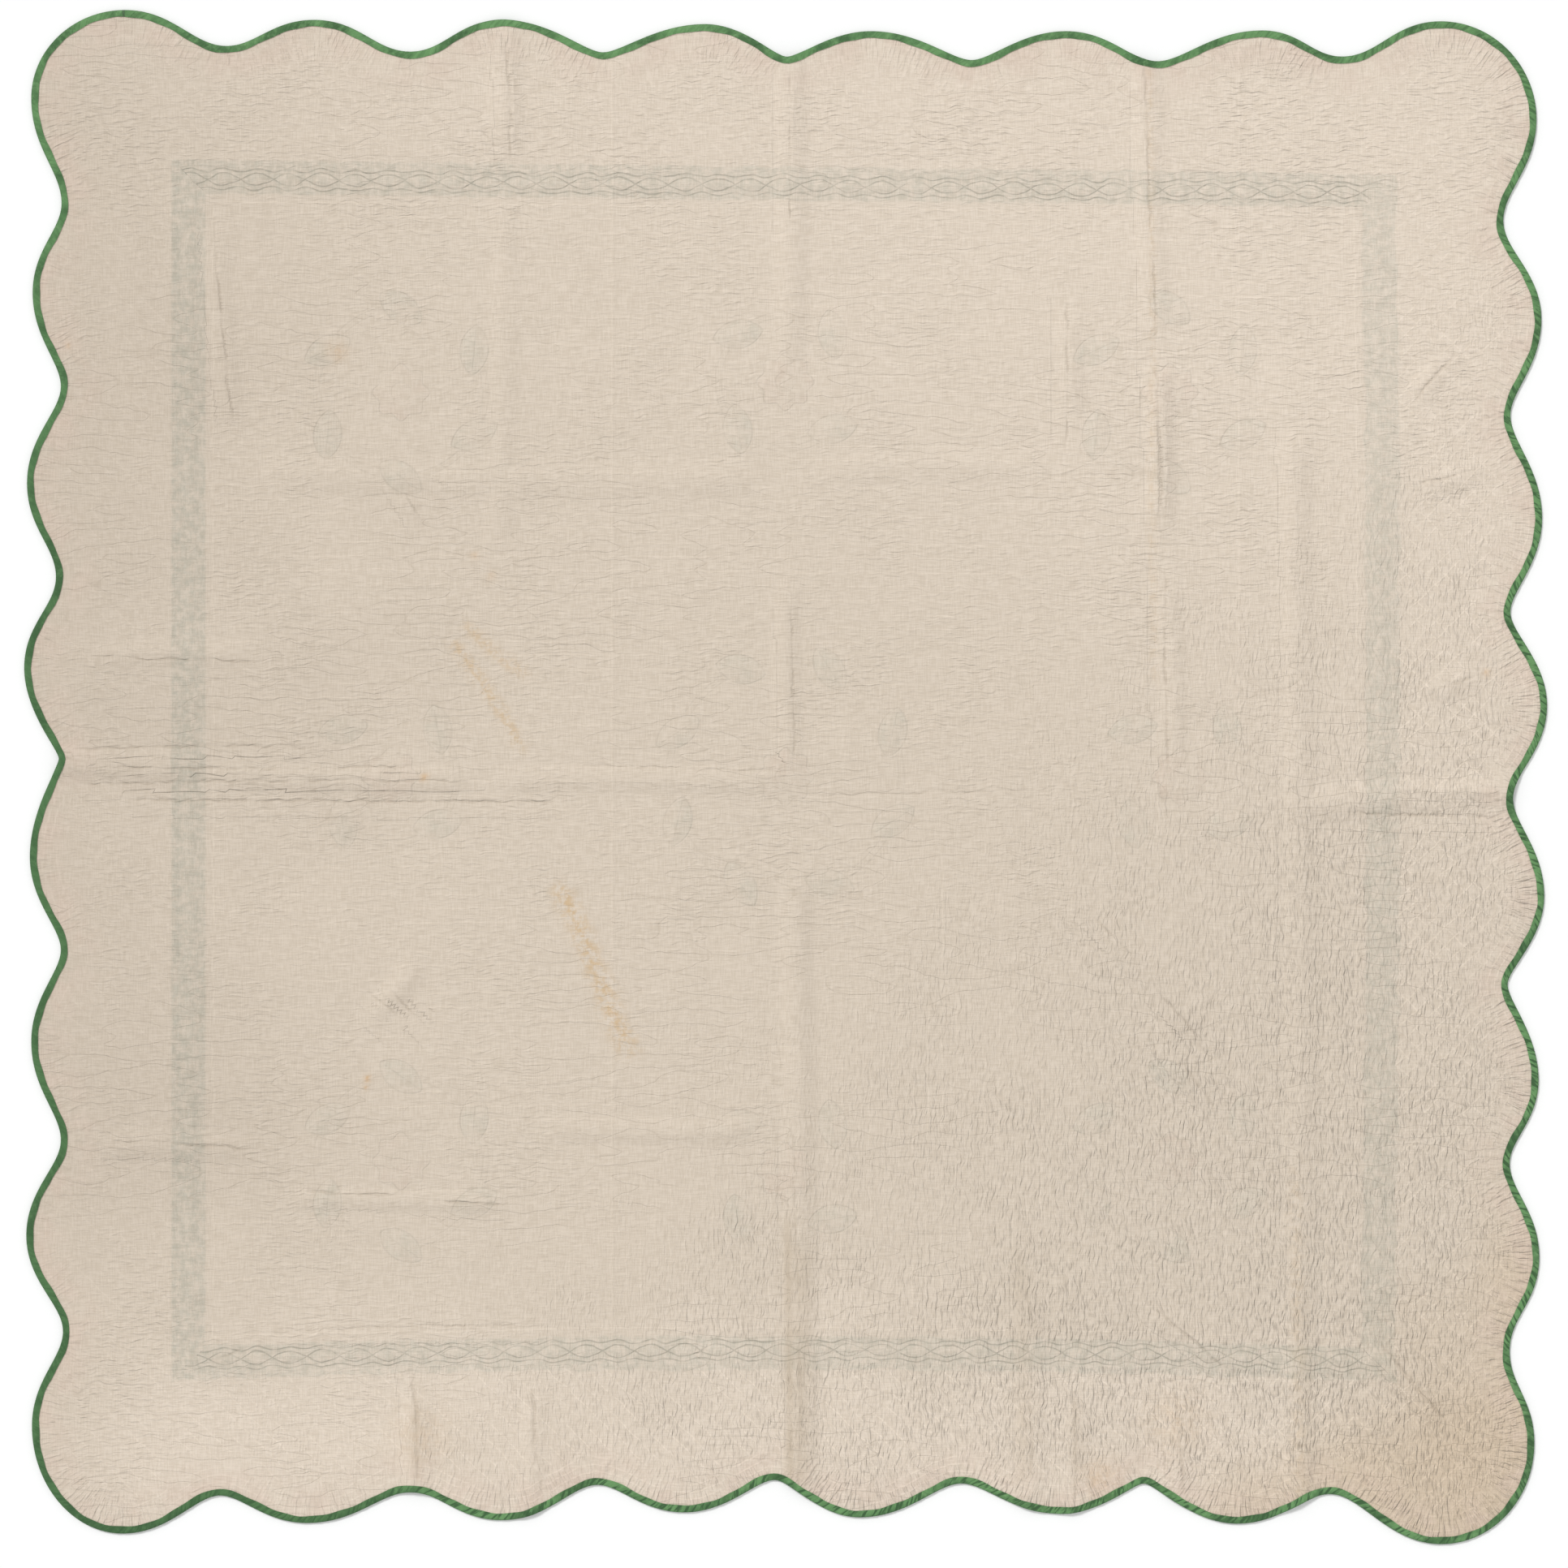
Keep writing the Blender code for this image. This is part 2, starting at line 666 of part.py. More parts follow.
def panel(name, top, under, west, east, material):
    """One backing width: the quilt's faces between two seams, closed by walls round its rim."""
    builder = bmesh.new()
    layers = []
    for faces in (top, under):
        verts = {}
        for face in faces:
            middle = sum(corner[0] for corner in face) / 3
            if not west < middle < east:
                continue
            corners = []
            for x, y, z in face:
                key = (round(x, 3), round(y, 3))
                if key not in verts:
                    inward = GAP / 2 if x == west else (-GAP / 2 if x == east else 0.0)
                    verts[key] = builder.verts.new(((x + inward) * MM, y * MM, z * MM))
                corners.append(verts[key])
            builder.faces.new(corners)
        layers.append(verts)
    upper, lower = layers
    names = {vert: key for key, vert in upper.items()}
    rim = [edge for edge in builder.edges if edge.is_boundary and edge.verts[0] in names]
    for edge in rim:
        a, b = edge.verts
        builder.faces.new((a, b, lower[names[b]], lower[names[a]]))
    return object_from(name, builder, material)


def binding(stations, material):
    """Folded strip: a U section open towards the quilt, carried round the edge."""
    rises = section_heights(stations)
    low = BINDING_CLOTH
    high = BINDING_CLOTH + 2 * GAP + EDGE_THICKNESS
    full = high + BINDING_CLOTH
    section = ((0.0, full / 2), (BINDING_ROUND, full), (BINDING_WIDTH, high + BINDING_TIP),
               (BINDING_WIDTH, high), (BINDING_ROUND, high), (BINDING_ROUND, low),
               (BINDING_WIDTH, low), (BINDING_WIDTH, 0.0), (BINDING_ROUND, 0.0))
    builder = bmesh.new()
    rows = []
    for station, rise in zip(stations, rises):
        row = []
        for depth, height in section:
            x, y = inset(station, depth)
            row.append(builder.verts.new((x * MM, y * MM, (height + rise) * MM)))
        rows.append(row)
    size = len(section)
    for k, row in enumerate(rows):
        following = rows[(k + 1) % len(rows)]
        for i in range(size):
            j = (i + 1) % size
            if section[j][0] >= section[i][0]:
                builder.faces.new((row[i], following[i], following[j]))
                builder.faces.new((row[i], following[j], row[j]))
            else:
                builder.faces.new((row[i], following[i], row[j]))
                builder.faces.new((following[i], following[j], row[j]))
    return object_from("edge_binding", builder, material)


for existing in list(bpy.data.objects):
    bpy.data.objects.remove(existing, do_unlink=True)

muslin = fabric("muslin", MUSLIN, 0.9)
bias_cloth = fabric("green_bias", BINDING_GREEN, 0.85)
edge_stations = with_seam_stations(outline_stations())
top_faces, under_faces = quilt_faces(edge_stations)
panel("backing_left", top_faces, under_faces, -QUILT_REACH, SEAM_LEFT, muslin)
panel("backing_centre", top_faces, under_faces, SEAM_LEFT, SEAM_RIGHT, muslin)
panel("backing_right", top_faces, under_faces, SEAM_RIGHT, QUILT_REACH, muslin)
binding(edge_stations, bias_cloth)
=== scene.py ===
"""Hand-quilted cotton bedcover, spread flat with its back up on a pale floor."""
import math

import bpy
import numpy as np
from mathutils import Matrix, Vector


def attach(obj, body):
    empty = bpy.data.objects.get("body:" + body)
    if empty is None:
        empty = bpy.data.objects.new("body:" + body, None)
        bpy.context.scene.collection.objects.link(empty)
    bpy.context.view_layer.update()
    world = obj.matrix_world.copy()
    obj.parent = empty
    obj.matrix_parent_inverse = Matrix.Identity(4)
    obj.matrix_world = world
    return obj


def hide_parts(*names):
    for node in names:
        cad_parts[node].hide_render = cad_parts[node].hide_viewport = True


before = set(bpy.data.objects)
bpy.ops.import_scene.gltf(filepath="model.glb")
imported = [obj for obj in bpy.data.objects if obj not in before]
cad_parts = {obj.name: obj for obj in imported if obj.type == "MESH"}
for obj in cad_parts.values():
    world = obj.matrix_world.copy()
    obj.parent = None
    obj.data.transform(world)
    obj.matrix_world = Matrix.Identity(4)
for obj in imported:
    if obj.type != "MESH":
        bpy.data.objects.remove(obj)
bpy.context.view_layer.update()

MM = 0.001


# Backing: three widths of washed cream muslin, seamed side by side and cut to the scalloped edge.
# They are hand quilted through thin wadding to the hidden top, and rest on the surface, lifted only
# where the quilt was folded away.

# Scallops, one table a side, clockwise from the top left corner. Columns: crest along the side,
# crest reach, next valley along, valley reach, level share at the valley. Millimetres.
TOP_SCALLOPS = (
    (-937, 1088, -793, 1037, 0.33),
    (-669, 1074, -532, 1029, 0.37),
    (-402, 1074, -259, 1028, 0.18),
    (-114, 1068, 2, 1021, 0.14),
    (121, 1058, 264, 1017, 0.20),
    (398, 1058, 525, 1015, 0.26),
    (676, 1059, 789, 1022, 0.37),
    (929, 1072),
)
RIGHT_SCALLOPS = (
    (-933, 1065, -789, 1018, 0.30),
    (-649, 1072, -513, 1028, 0.25),
    (-367, 1073, -234, 1028, 0.22),
    (-101, 1080, 29, 1031, 0.25),
    (169, 1076, 294, 1024, 0.17),
    (430, 1068, 548, 1027, 0.28),
    (681, 1069, 814, 1027, 0.37),
    (945, 1062),
)
BOTTOM_SCALLOPS = (
    (-930, 1088, -772, 1017, 0.28),
    (-640, 1059, -508, 1002, 0.12),
    (-390, 1045, -249, 1002, 0.24),
    (-105, 1050, 16, 997, 0.20),
    (144, 1043, 267, 1004, 0.26),
    (403, 1054, 530, 1014, 0.30),
    (679, 1058, 802, 1019, 0.25),
    (940, 1073),
)
LEFT_SCALLOPS = (
    (-920, 1069, -786, 1025, 0.28),
    (-650, 1077, -515, 1028, 0.27),
    (-375, 1070, -245, 1028, 0.24),
    (-113, 1072, 26, 1030, 0.08),
    (155, 1080, 284, 1035, 0.32),
    (417, 1076, 554, 1028, 0.26),
    (687, 1068, 814, 1027, 0.30),
    (963, 1070),
)
CREST_SHARE = 0.48
CORNER_SHARE = 0.55
STEPS_A_CURVE = 40


def turned(along, reach, side):
    """Plan place on a side: 0 top, 1 right, 2 bottom, 3 left, each a quarter turn on."""
    return np.array(((along, reach), (reach, -along), (-along, -reach), (-reach, along))[side])


def edge_curves():
    """Control places of every cubic curve round the edge, level at each crest and valley."""
    sides = (TOP_SCALLOPS, RIGHT_SCALLOPS, BOTTOM_SCALLOPS, LEFT_SCALLOPS)
    curves = []
    for side, rows in enumerate(sides):
        way = turned(1, 0, side)
        marks = []
        for row in rows:
            marks.append((row[0], row[1], CREST_SHARE))
            marks += [row[2:]] if len(row) > 2 else []
        for (a0, r0, s0), (a1, r1, s1) in zip(marks[:-1], marks[1:]):
            start, end = turned(a0, r0, side), turned(a1, r1, side)
            curves.append((start, start + way * s0 * (a1 - a0), end - way * s1 * (a1 - a0), end))
        next_side = (side + 1) % 4
        start = turned(rows[-1][0], rows[-1][1], side)
        end = turned(sides[next_side][0][0], sides[next_side][0][1], next_side)
        span = np.abs(end - start)
        curves.append((start, start + way * CORNER_SHARE * span[side % 2],
                       end - turned(1, 0, next_side) * CORNER_SHARE * span[1 - side % 2], end))
    return np.array(curves, dtype=float)


def edge_ring():
    """Places and unit ways round the edge. Each cubic is the sum of its four control places by the
    Bernstein weights of t, and its way is the same sum of their differences by the square ones."""
    p = edge_curves()[:, :, None, :]
    t = (np.arange(STEPS_A_CURVE) / STEPS_A_CURVE)[None, :, None]
    s = 1 - t
    place = s**3 * p[:, 0] + 3 * s * s * t * p[:, 1] + 3 * s * t * t * p[:, 2] + t**3 * p[:, 3]
    way = s * s * (p[:, 1] - p[:, 0]) + 2 * s * t * (p[:, 2] - p[:, 1]) + t * t * (p[:, 3] - p[:, 2])
    way /= np.linalg.norm(way, axis=-1, keepdims=True)
    return place.reshape(-1, 2), way.reshape(-1, 2)


def inward(place, way, depth):
    """Places a depth inside the edge, along its normal."""
    return place + np.stack((way[:, 1], -way[:, 0]), axis=1) * depth


def runs(ring):
    """Length round a closed ring of places up to each, with the whole length last."""
    steps = np.linalg.norm(np.roll(ring, -1, axis=0) - ring, axis=1)
    return np.concatenate(([0.0], np.cumsum(steps)))


def stretch(ring, start, end, count):
    """count + 1 places at equal steps along a ring, clockwise from one length to another."""
    length = runs(ring)
    whole = length[-1]
    at = (start + (end - start) % whole * np.linspace(0, 1, count + 1)) % whole
    closed = np.concatenate((ring, ring[:1]))
    return np.stack([np.interp(at, length, closed[:, k]) for k in (0, 1)], axis=1)


def crossing(ring, x, upper):
    """Length round the ring at which it crosses an upright line, on its upper or lower side."""
    closed = np.concatenate((ring, ring[:1]))
    offset = closed[:, 0] - x
    here = np.flatnonzero((offset[:-1] * offset[1:] <= 0) & ((closed[:-1, 1] > 0) == upper))[0]
    share = offset[here] / (offset[here] - offset[here + 1])
    length = runs(ring)
    return length[here] + share * (length[here + 1] - length[here])


def patch(left, right, bottom, top):
    """Grid of places between four edges: the blend of left and right, plus that of bottom and top,
    less the blend of the four corners."""
    s = np.linspace(0, 1, len(bottom))[None, :, None]
    t = np.linspace(0, 1, len(left))[:, None, None]
    across = (1 - s) * left[:, None] + s * right[:, None]
    upward = (1 - t) * bottom[None] + t * top[None]
    corners = ((1 - s) * (1 - t) * bottom[0] + s * (1 - t) * bottom[-1]
               + (1 - s) * t * top[0] + s * t * top[-1])
    return across + upward - corners


# Folds as the quilt lies. Columns: start x, start y, end x, end y, sideways bow, height, half width.
FOLDS = (
    (5, 1090, 4, 560, 4, 4.5, 30),
    (2, 300, 8, -10, -4, 4.0, 24),
    (11, -118, 20, -1060, 5, 5.5, 30),
    (511, 1085, 528, 596, -5, 4.0, 28),
    (526, 610, 531, 330, 3, 6.0, 27),
    (540, 310, 549, -5, 4, 4.0, 24),
    (719, 505, 728, -1100, 8, 5.0, 32),
    (-396, 1120, -392, 860, -4, 4.5, 32),
    (-402, 860, -410, 300, 6, 2.5, 26),
    (-810, 795, -780, 490, -5, 3.0, 25),
    (400, 690, 403, 480, 3, 3.0, 22),
    (-1090, 22, -815, 6, 3, 5.0, 30),
    (-830, 6, -424, -3, -5, 4.0, 26),
    (-438, -5, 2, -10, 4, 3.0, 24),
    (680, -50, 1095, -20, 6, 5.0, 34),
    (-770, 432, -10, 423, -8, 2.5, 32),
    (14, 429, 384, 440, 6, 2.2, 28),
    (-1000, -524, -735, -530, 5, 3.5, 26),
    (-368, -496, -8, -500, -4, 3.0, 24),
    (-1010, 170, -735, 172, 4, 3.0, 24),
    (-725, -599, -370, -607, 3, 3.0, 18),
    (420, -185, 603, -385, 7, 4.0, 24),
    (513, -346, 620, -489, -6, 4.0, 24),
    (500, -744, 643, -857, 6, 5.0, 28),
    (750, -795, 800, -858, 0, 3.5, 24),
    (829, -784, 949, -926, -7, 5.0, 28),
    (-525, -840, -528, -1070, 4, 4.5, 30),
    (-352, -842, -361, -1100, -4, 3.5, 26),
    (341, -692, 345, -1080, 5, 4.5, 28),
    (556, -842, 548, -1070, 4, 3.5, 26),
    (412, -855, 407, -1110, 0, 3.0, 26),
    (875, 513, 960, 609, 5, 4.0, 26),
    (875, 410, 1010, 442, -5, 4.0, 26),
    (887, 105, 1010, 150, 5, 4.0, 26),
    (-508, -237, -610, -362, 8, 4.0, 26),
    (-558, 425, -508, 346, 0, 2.5, 20),
)
FOLD_FADE = 70.0


def beside(x, y, row, fade):
    """Signed distance across a bowed line, and its strength: 1 along it, 0 from its ends outward,
    a smooth step over the fade between."""
    x0, y0, x1, y1, bow = row[:5]
    dx, dy = x1 - x0, y1 - y0
    length = math.hypot(dx, dy)
    t = ((x - x0) * dx + (y - y0) * dy) / length**2
    across = ((y - y0) * dx - (x - x0) * dy) / length - bow * 4 * t * (1 - t)
    end = np.clip(np.minimum(t, 1 - t) * length / fade, 0, 1)
    return across, end * end * (3 - 2 * end)


def rise(x, y):
    """Height of the cloth over the surface: the tallest fold here, each a smooth ridge of height
    x strength x (1 - (across / half width)^2)^2."""
    tallest = np.zeros_like(x)
    for row in FOLDS:
        across, strength = beside(x, y, row, FOLD_FADE)
        ridge = np.clip(1 - (across / row[6]) ** 2, 0, None) ** 2
        tallest = np.maximum(tallest, row[5] * strength * ridge)
    return tallest


# Frame of sewn strips on the hidden top, by the middle lines of the cables quilted along them
FRAME_CORNERS = (((-843, 848), -1, 1), ((838, 828), 1, 1), ((836, -829), 1, -1), ((-843, -827), -1, -1))
FRAME_HALF = 847.0
BOW_RIGHT = 6.0
BOW_BOTTOM = 15.0
STRAIGHTEN_STEPS = 6


def frame_place(u, v):
    """Plan place of frame shares u, v: the blend of the frame's four corners, plus two bows."""
    x = sum(corner[0] * (1 + u * a) * (1 + v * b) / 4 for corner, a, b in FRAME_CORNERS)
    y = sum(corner[1] * (1 + u * a) * (1 + v * b) / 4 for corner, a, b in FRAME_CORNERS)
    return x + BOW_RIGHT * (1 - v * v) * (1 + u) / 2, y + BOW_BOTTOM * (1 - u * u) * (1 - v) / 2


def straightened(x, y):
    """Frame coordinates in millimetres, in which the cables are straight: the place's own, mended
    a few times by what frame_place misses it by."""
    u, v = x / FRAME_HALF, y / FRAME_HALF
    for _ in range(STRAIGHTEN_STEPS):
        px, py = frame_place(u, v)
        u, v = u + (x - px) / FRAME_HALF, v + (y - py) / FRAME_HALF
    return u * FRAME_HALF, v * FRAME_HALF


# Quilted wreaths of leaves round a rosette. Columns: centre x, centre y, ring radius, leaf count
WREATHS = (
    (0, 0, 165, 8),
    (-545, 545, 120, 6),
    (545, 545, 120, 6),
    (545, -545, 120, 6),
    (-545, -545, 120, 6),
    (0, 560, 95, 4),
    (560, 0, 95, 4),
    (0, -560, 95, 4),
    (-560, 0, 95, 4),
)
LEAF_LENGTH = 72.0
LEAF_WIDTH = 40.0
LEAF_SLANT = math.radians(35)
ROSETTE_RADIUS = 37.0
ROSETTE_LOBE = 4.0
ROSETTE_LOBES = 8
ROSETTE_EYE = 14.0
FAR_OFF = 200.0


def motifs(x, y):
    """Distance out of the nearest leaf or rosette, distance across its inner line, and distance
    out of the nearest wreath ring. A leaf is where two circles overlap; a rosette's rim waves."""
    out = np.full_like(x, FAR_OFF)
    inner = np.full_like(x, FAR_OFF)
    ring = np.full_like(x, FAR_OFF)
    half, side = LEAF_LENGTH / 2, LEAF_WIDTH / 2
    arc = (half**2 + side**2) / (2 * side)
    for cx, cy, radius, count in WREATHS:
        from_middle = np.hypot(x - cx, y - cy)
        lobes = np.cos(ROSETTE_LOBES * np.arctan2(y - cy, x - cx))
        one = from_middle - ROSETTE_RADIUS - ROSETTE_LOBE * lobes
        inner = np.where(one < out, from_middle - ROSETTE_EYE, inner)
        out = np.minimum(out, one)
        ring = np.where(np.abs(from_middle - radius) < np.abs(ring), from_middle - radius, ring)
        for k in range(count):
            angle = 2 * math.pi * (k + 0.5) / count
            way = angle + math.pi / 2 - LEAF_SLANT
            px = x - cx - radius * math.cos(angle)
            py = y - cy - radius * math.sin(angle)
            along = px * math.cos(way) + py * math.sin(way)
            across = py * math.cos(way) - px * math.sin(way)
            one = np.hypot(along, np.abs(across) + arc - side) - arc
            inner = np.where(one < out, across, inner)
            out = np.minimum(out, one)
    return out, inner, ring


# Sharp creases. Columns: start x, start y, end x, end y, sideways bow, height, half width
CREASES = (
    (5, 1022, 5, 757, 2, -0.9, 3),
    (12, 999, 10, 861, -2, 0.8, 5),
    (7, 256, 10, -9, 2, -0.7, 3),
    (13, -481, 20, -786, -3, -0.7, 3),
    (18, -786, 18, -1028, 3, -1.1, 4),
    (37, -803, 35, -970, 2, 1.2, 8),
    (511, 1022, 518, 757, -2, -0.8, 3),
    (519, 757, 524, 596, 2, -0.8, 3),
    (522, 601, 530, 354, 3, -1.5, 3.5),
    (531, 596, 539, 366, 3, 1.2, 6),
    (539, 308, 544, -9, -3, -0.9, 3),
    (397, 694, 398, 452, 2, -0.8, 3),
    (-398, 1051, -390, 855, 3, -0.9, 3.5),
    (-385, 1034, -382, 872, -3, 0.8, 5),
    (-810, 794, -781, 490, -3, -1, 3),
    (-1023, 39, -654, 42, 3, -0.9, 3),
    (-977, 14, -516, 16, -3, -1, 3),
    (-1011, -11, -424, -6, 3, -0.9, 3),
    (-942, -31, -303, -34, -2, -1.1, 3),
    (-769, 5, -573, -1, 2, 0.8, 4),
    (-1046, 32, -988, 20, 0, -1.2, 4),
    (831, -17, 1036, -24, 3, 1.2, 9),
    (774, -49, 1016, -54, -3, -0.9, 4),
    (-701, -590, -539, -594, 2, -1.3, 3),
    (-539, -595, -369, -607, -2, -1.2, 3),
    (-977, -516, -732, -530, 3, -0.9, 3),
    (-1000, 174, -732, 165, -3, -0.9, 3),
    (-602, -297, -539, -351, 2, -1.1, 3),
    (-573, -286, -487, -376, -2, -1, 3),
    (-594, -328, -548, -368, 0, 0.9, 4),
    (-530, -312, -479, -351, 2, -0.8, 3),
    (423, -185, 511, -283, 3, -0.9, 4),
    (511, -279, 603, -385, -4, -0.9, 4),
    (515, -346, 620, -489, 3, -0.8, 4),
    (503, -743, 643, -857, 4, -1.2, 4),
    (749, -807, 799, -846, 0, -1, 4),
    (831, -784, 949, -926, -4, -1.2, 5),
    (956, -987, 972, -1025, 0, -1.6, 7),
    (-533, -803, -521, -1019, 3, -1, 4),
    (-360, -844, -345, -1030, -3, -0.9, 4),
    (339, -688, 348, -1007, 3, -1, 4),
    (411, -853, 413, -1049, -3, -0.8, 4),
    (545, -844, 564, -1028, 3, -0.9, 4),
    (732, -625, 743, -1039, -3, 0.9, 6),
    (716, 504, 724, 66, 4, 0.7, 6),
    (723, 66, 728, -625, -4, 0.7, 6),
    (878, 513, 960, 610, 3, -1, 4),
    (878, 411, 995, 442, -3, -0.9, 4),
    (891, 105, 995, 148, 3, -0.9, 4),
    (-556, 426, -509, 347, 2, -1.1, 3),
    (-507, 450, -456, 428, 0, -0.9, 3),
    (-355, -118, -326, -170, 2, -0.7, 2.5),
    (37, -28, 371, -21, 3, -0.6, 3),
    (-309, 20, 37, 9, -3, -0.6, 3),
    (-843, -844, -744, -803, 3, -0.8, 4),
    (-706, -786, -309, -779, 3, -0.7, 3),
)
CREASE_FADE = 45.0
CREASE_REACH = 26.0


def creases(x, y):
    """Signed distance across the nearest crease, its strength x height, and its half width."""
    nearest = np.full_like(x, FAR_OFF)
    strength = np.zeros_like(x)
    width = np.ones_like(x)
    for row in CREASES:
        across, along = beside(x, y, row, CREASE_FADE)
        closer = (np.abs(across) < np.abs(nearest)) & (along > 0) & (np.abs(across) < CREASE_REACH)
        nearest = np.where(closer, across, nearest)
        strength = np.where(closer, along * row[5], strength)
        width = np.where(closer, row[6], width)
    return nearest, strength, width


# Seams, room for the binding, thicknesses, and the heights and reaches of the puffs, in millimetres
SEAM_LEFT = -245.3
SEAM_RIGHT = 643.7
GAP = 0.3
BINDING_CLOTH = 0.9
BINDING_ROUND = 1.4
EDGE_THICKNESS = 2.0
STITCHED_THICKNESS = 2.6
CABLE_PERIOD = 2 * FRAME_HALF / 36
CABLE_HALF = 9.0
PUFF_CABLE = 1.3
PUFF_LEAF = 0.9
PUFF_FIELD = 0.7
SEAM_RIDGE = 0.5
SEAM_SPREAD = 4.0
EDGE_FROM = 9.0
EDGE_TO = 24.0
FOOT_FROM = 12.0
FOOT_TO = 32.0
UNEVEN = 0.3
UNEVEN_WAVES = 28
dice = np.random.default_rng(11)


def smooth(value, low, high):
    """Smooth step 3t^2 - 2t^3 of the share t between two limits."""
    t = np.clip((value - low) / (high - low), 0, 1)
    return t * t * (3 - 2 * t)


def wave_table(shortest, longest):
    """Seeded ways, lengths and starts of plane waves."""
    return np.stack((dice.uniform(0, 2 * math.pi, UNEVEN_WAVES),
                     dice.uniform(shortest, longest, UNEVEN_WAVES),
                     dice.uniform(0, 2 * math.pi, UNEVEN_WAVES)), axis=1)


def waves(x, y, table):
    """Sum of plane waves over the root of half their number, so that most values are within 2."""
    total = np.zeros_like(x)
    for way, length, start in table:
        total += np.sin(2 * math.pi * (x * math.cos(way) + y * math.sin(way)) / length + start)
    return total / math.sqrt(UNEVEN_WAVES / 2)


swell_waves = wave_table(60, 200)
temper_waves = wave_table(90, 420)
tone_waves = wave_table(150, 900)


def tempers(x, y):
    """How upright the crinkles run, from 0 on the left to 1 on the right and less in the top
    border; how strong they are; and a slow change of tone. Smooth steps plus slow waves."""
    moved = waves(x, y, temper_waves)
    upright = smooth(x - 1.1 * y + 90 * moved, -50, 850)
    strength = 0.42 + 1.05 * smooth(x - 0.6 * y, -200, 1300) + 0.25 * smooth(y, 700, 950)
    strength = strength + 0.3 * smooth(-y, 600, 950) + 0.15 * waves(y, x, temper_waves)
    return upright, np.clip(strength, 0.3, 1.8), waves(x, y, tone_waves)


def edge_near(x, y, ring):
    """Distance inside the edge, and the share of the way round it: the nearest of the ring's
    places, row by row, with the share moved on by the offset along the ring there."""
    depth, share = np.empty_like(x), np.empty_like(x)
    ahead = np.roll(ring, -1, axis=0) - np.roll(ring, 1, axis=0)
    ahead /= np.linalg.norm(ahead, axis=1, keepdims=True)
    length = runs(ring)
    for k in range(len(x)):
        away = np.stack((x[k][:, None] - ring[:, 0], y[k][:, None] - ring[:, 1]), axis=-1)
        near = (away**2).sum(axis=-1).argmin(axis=1)
        offset = away[np.arange(len(near)), near]
        depth[k] = np.hypot(offset[:, 0], offset[:, 1])
        share[k] = (length[near] + (offset * ahead[near]).sum(axis=1)) / length[-1]
    return depth, share


def upper_height(x, y, u, v, depth, out):
    """Upper face: stitched thickness, fold, unevenness, and puffs of the leaves, cable lenses and
    seam turnings; it runs into the level rim that the binding holds."""
    along = np.where(np.abs(u) > np.abs(v), v, u)
    across = np.maximum(np.abs(u), np.abs(v)) - FRAME_HALF
    lens = CABLE_HALF * np.abs(np.cos(math.pi * (along + FRAME_HALF) / CABLE_PERIOD))
    cable = np.clip(1 - (across / (lens + 0.5)) ** 2, 0, 1) * lens / CABLE_HALF
    leaf = smooth(-out, 0, 16)
    seam = np.exp(-((np.minimum(np.abs(x - SEAM_LEFT), np.abs(x - SEAM_RIGHT)) / SEAM_SPREAD) ** 2))
    puff = PUFF_FIELD + UNEVEN * waves(x, y, swell_waves)
    puff = puff + PUFF_CABLE * cable + PUFF_LEAF * leaf + SEAM_RIDGE * seam
    rim = BINDING_CLOTH + GAP + EDGE_THICKNESS
    free = smooth(depth, EDGE_FROM, EDGE_TO)
    return rise(x, y) + rim * (1 - free) + (STITCHED_THICKNESS + puff) * free


def under_height(x, y, depth):
    """Underside: the fold's height, and the step up to the level rim that the binding holds."""
    return rise(x, y) + (BINDING_CLOTH + GAP) * (1 - smooth(depth, FOOT_FROM, FOOT_TO))


COARSE = 3
SHARP_ANGLE = math.radians(50)


def grid_faces(rows, columns):
    """Faces of a closed sheet: fine squares above, squares of COARSE cells below, and a wall face
    for each coarse cell of the rim, which joins its COARSE fine edges to the coarse one."""
    upper = np.arange((rows + 1) * (columns + 1)).reshape(rows + 1, columns + 1)
    low_rows, low_columns = rows // COARSE, columns // COARSE
    lower = upper.size + np.arange((low_rows + 1) * (low_columns + 1)).reshape(low_rows + 1, -1)
    above = np.stack((upper[:-1, :-1], upper[:-1, 1:], upper[1:, 1:], upper[1:, :-1]), -1).reshape(-1, 4)
    below = np.stack((lower[:-1, :-1], lower[1:, :-1], lower[1:, 1:], lower[:-1, 1:]), -1).reshape(-1, 4)
    walls = []
    for low, high in ((lower[0], upper[0]), (lower[:, -1], upper[:, -1]),
                      (lower[-1, ::-1], upper[-1, ::-1]), (lower[::-1, 0], upper[::-1, 0])):
        fine = np.stack([high[k:len(high) - COARSE + k:COARSE] for k in range(COARSE, -1, -1)], -1)
        walls.append(np.concatenate((low[:-1, None], low[1:, None], fine), axis=1))
    return above, below, np.concatenate(walls)


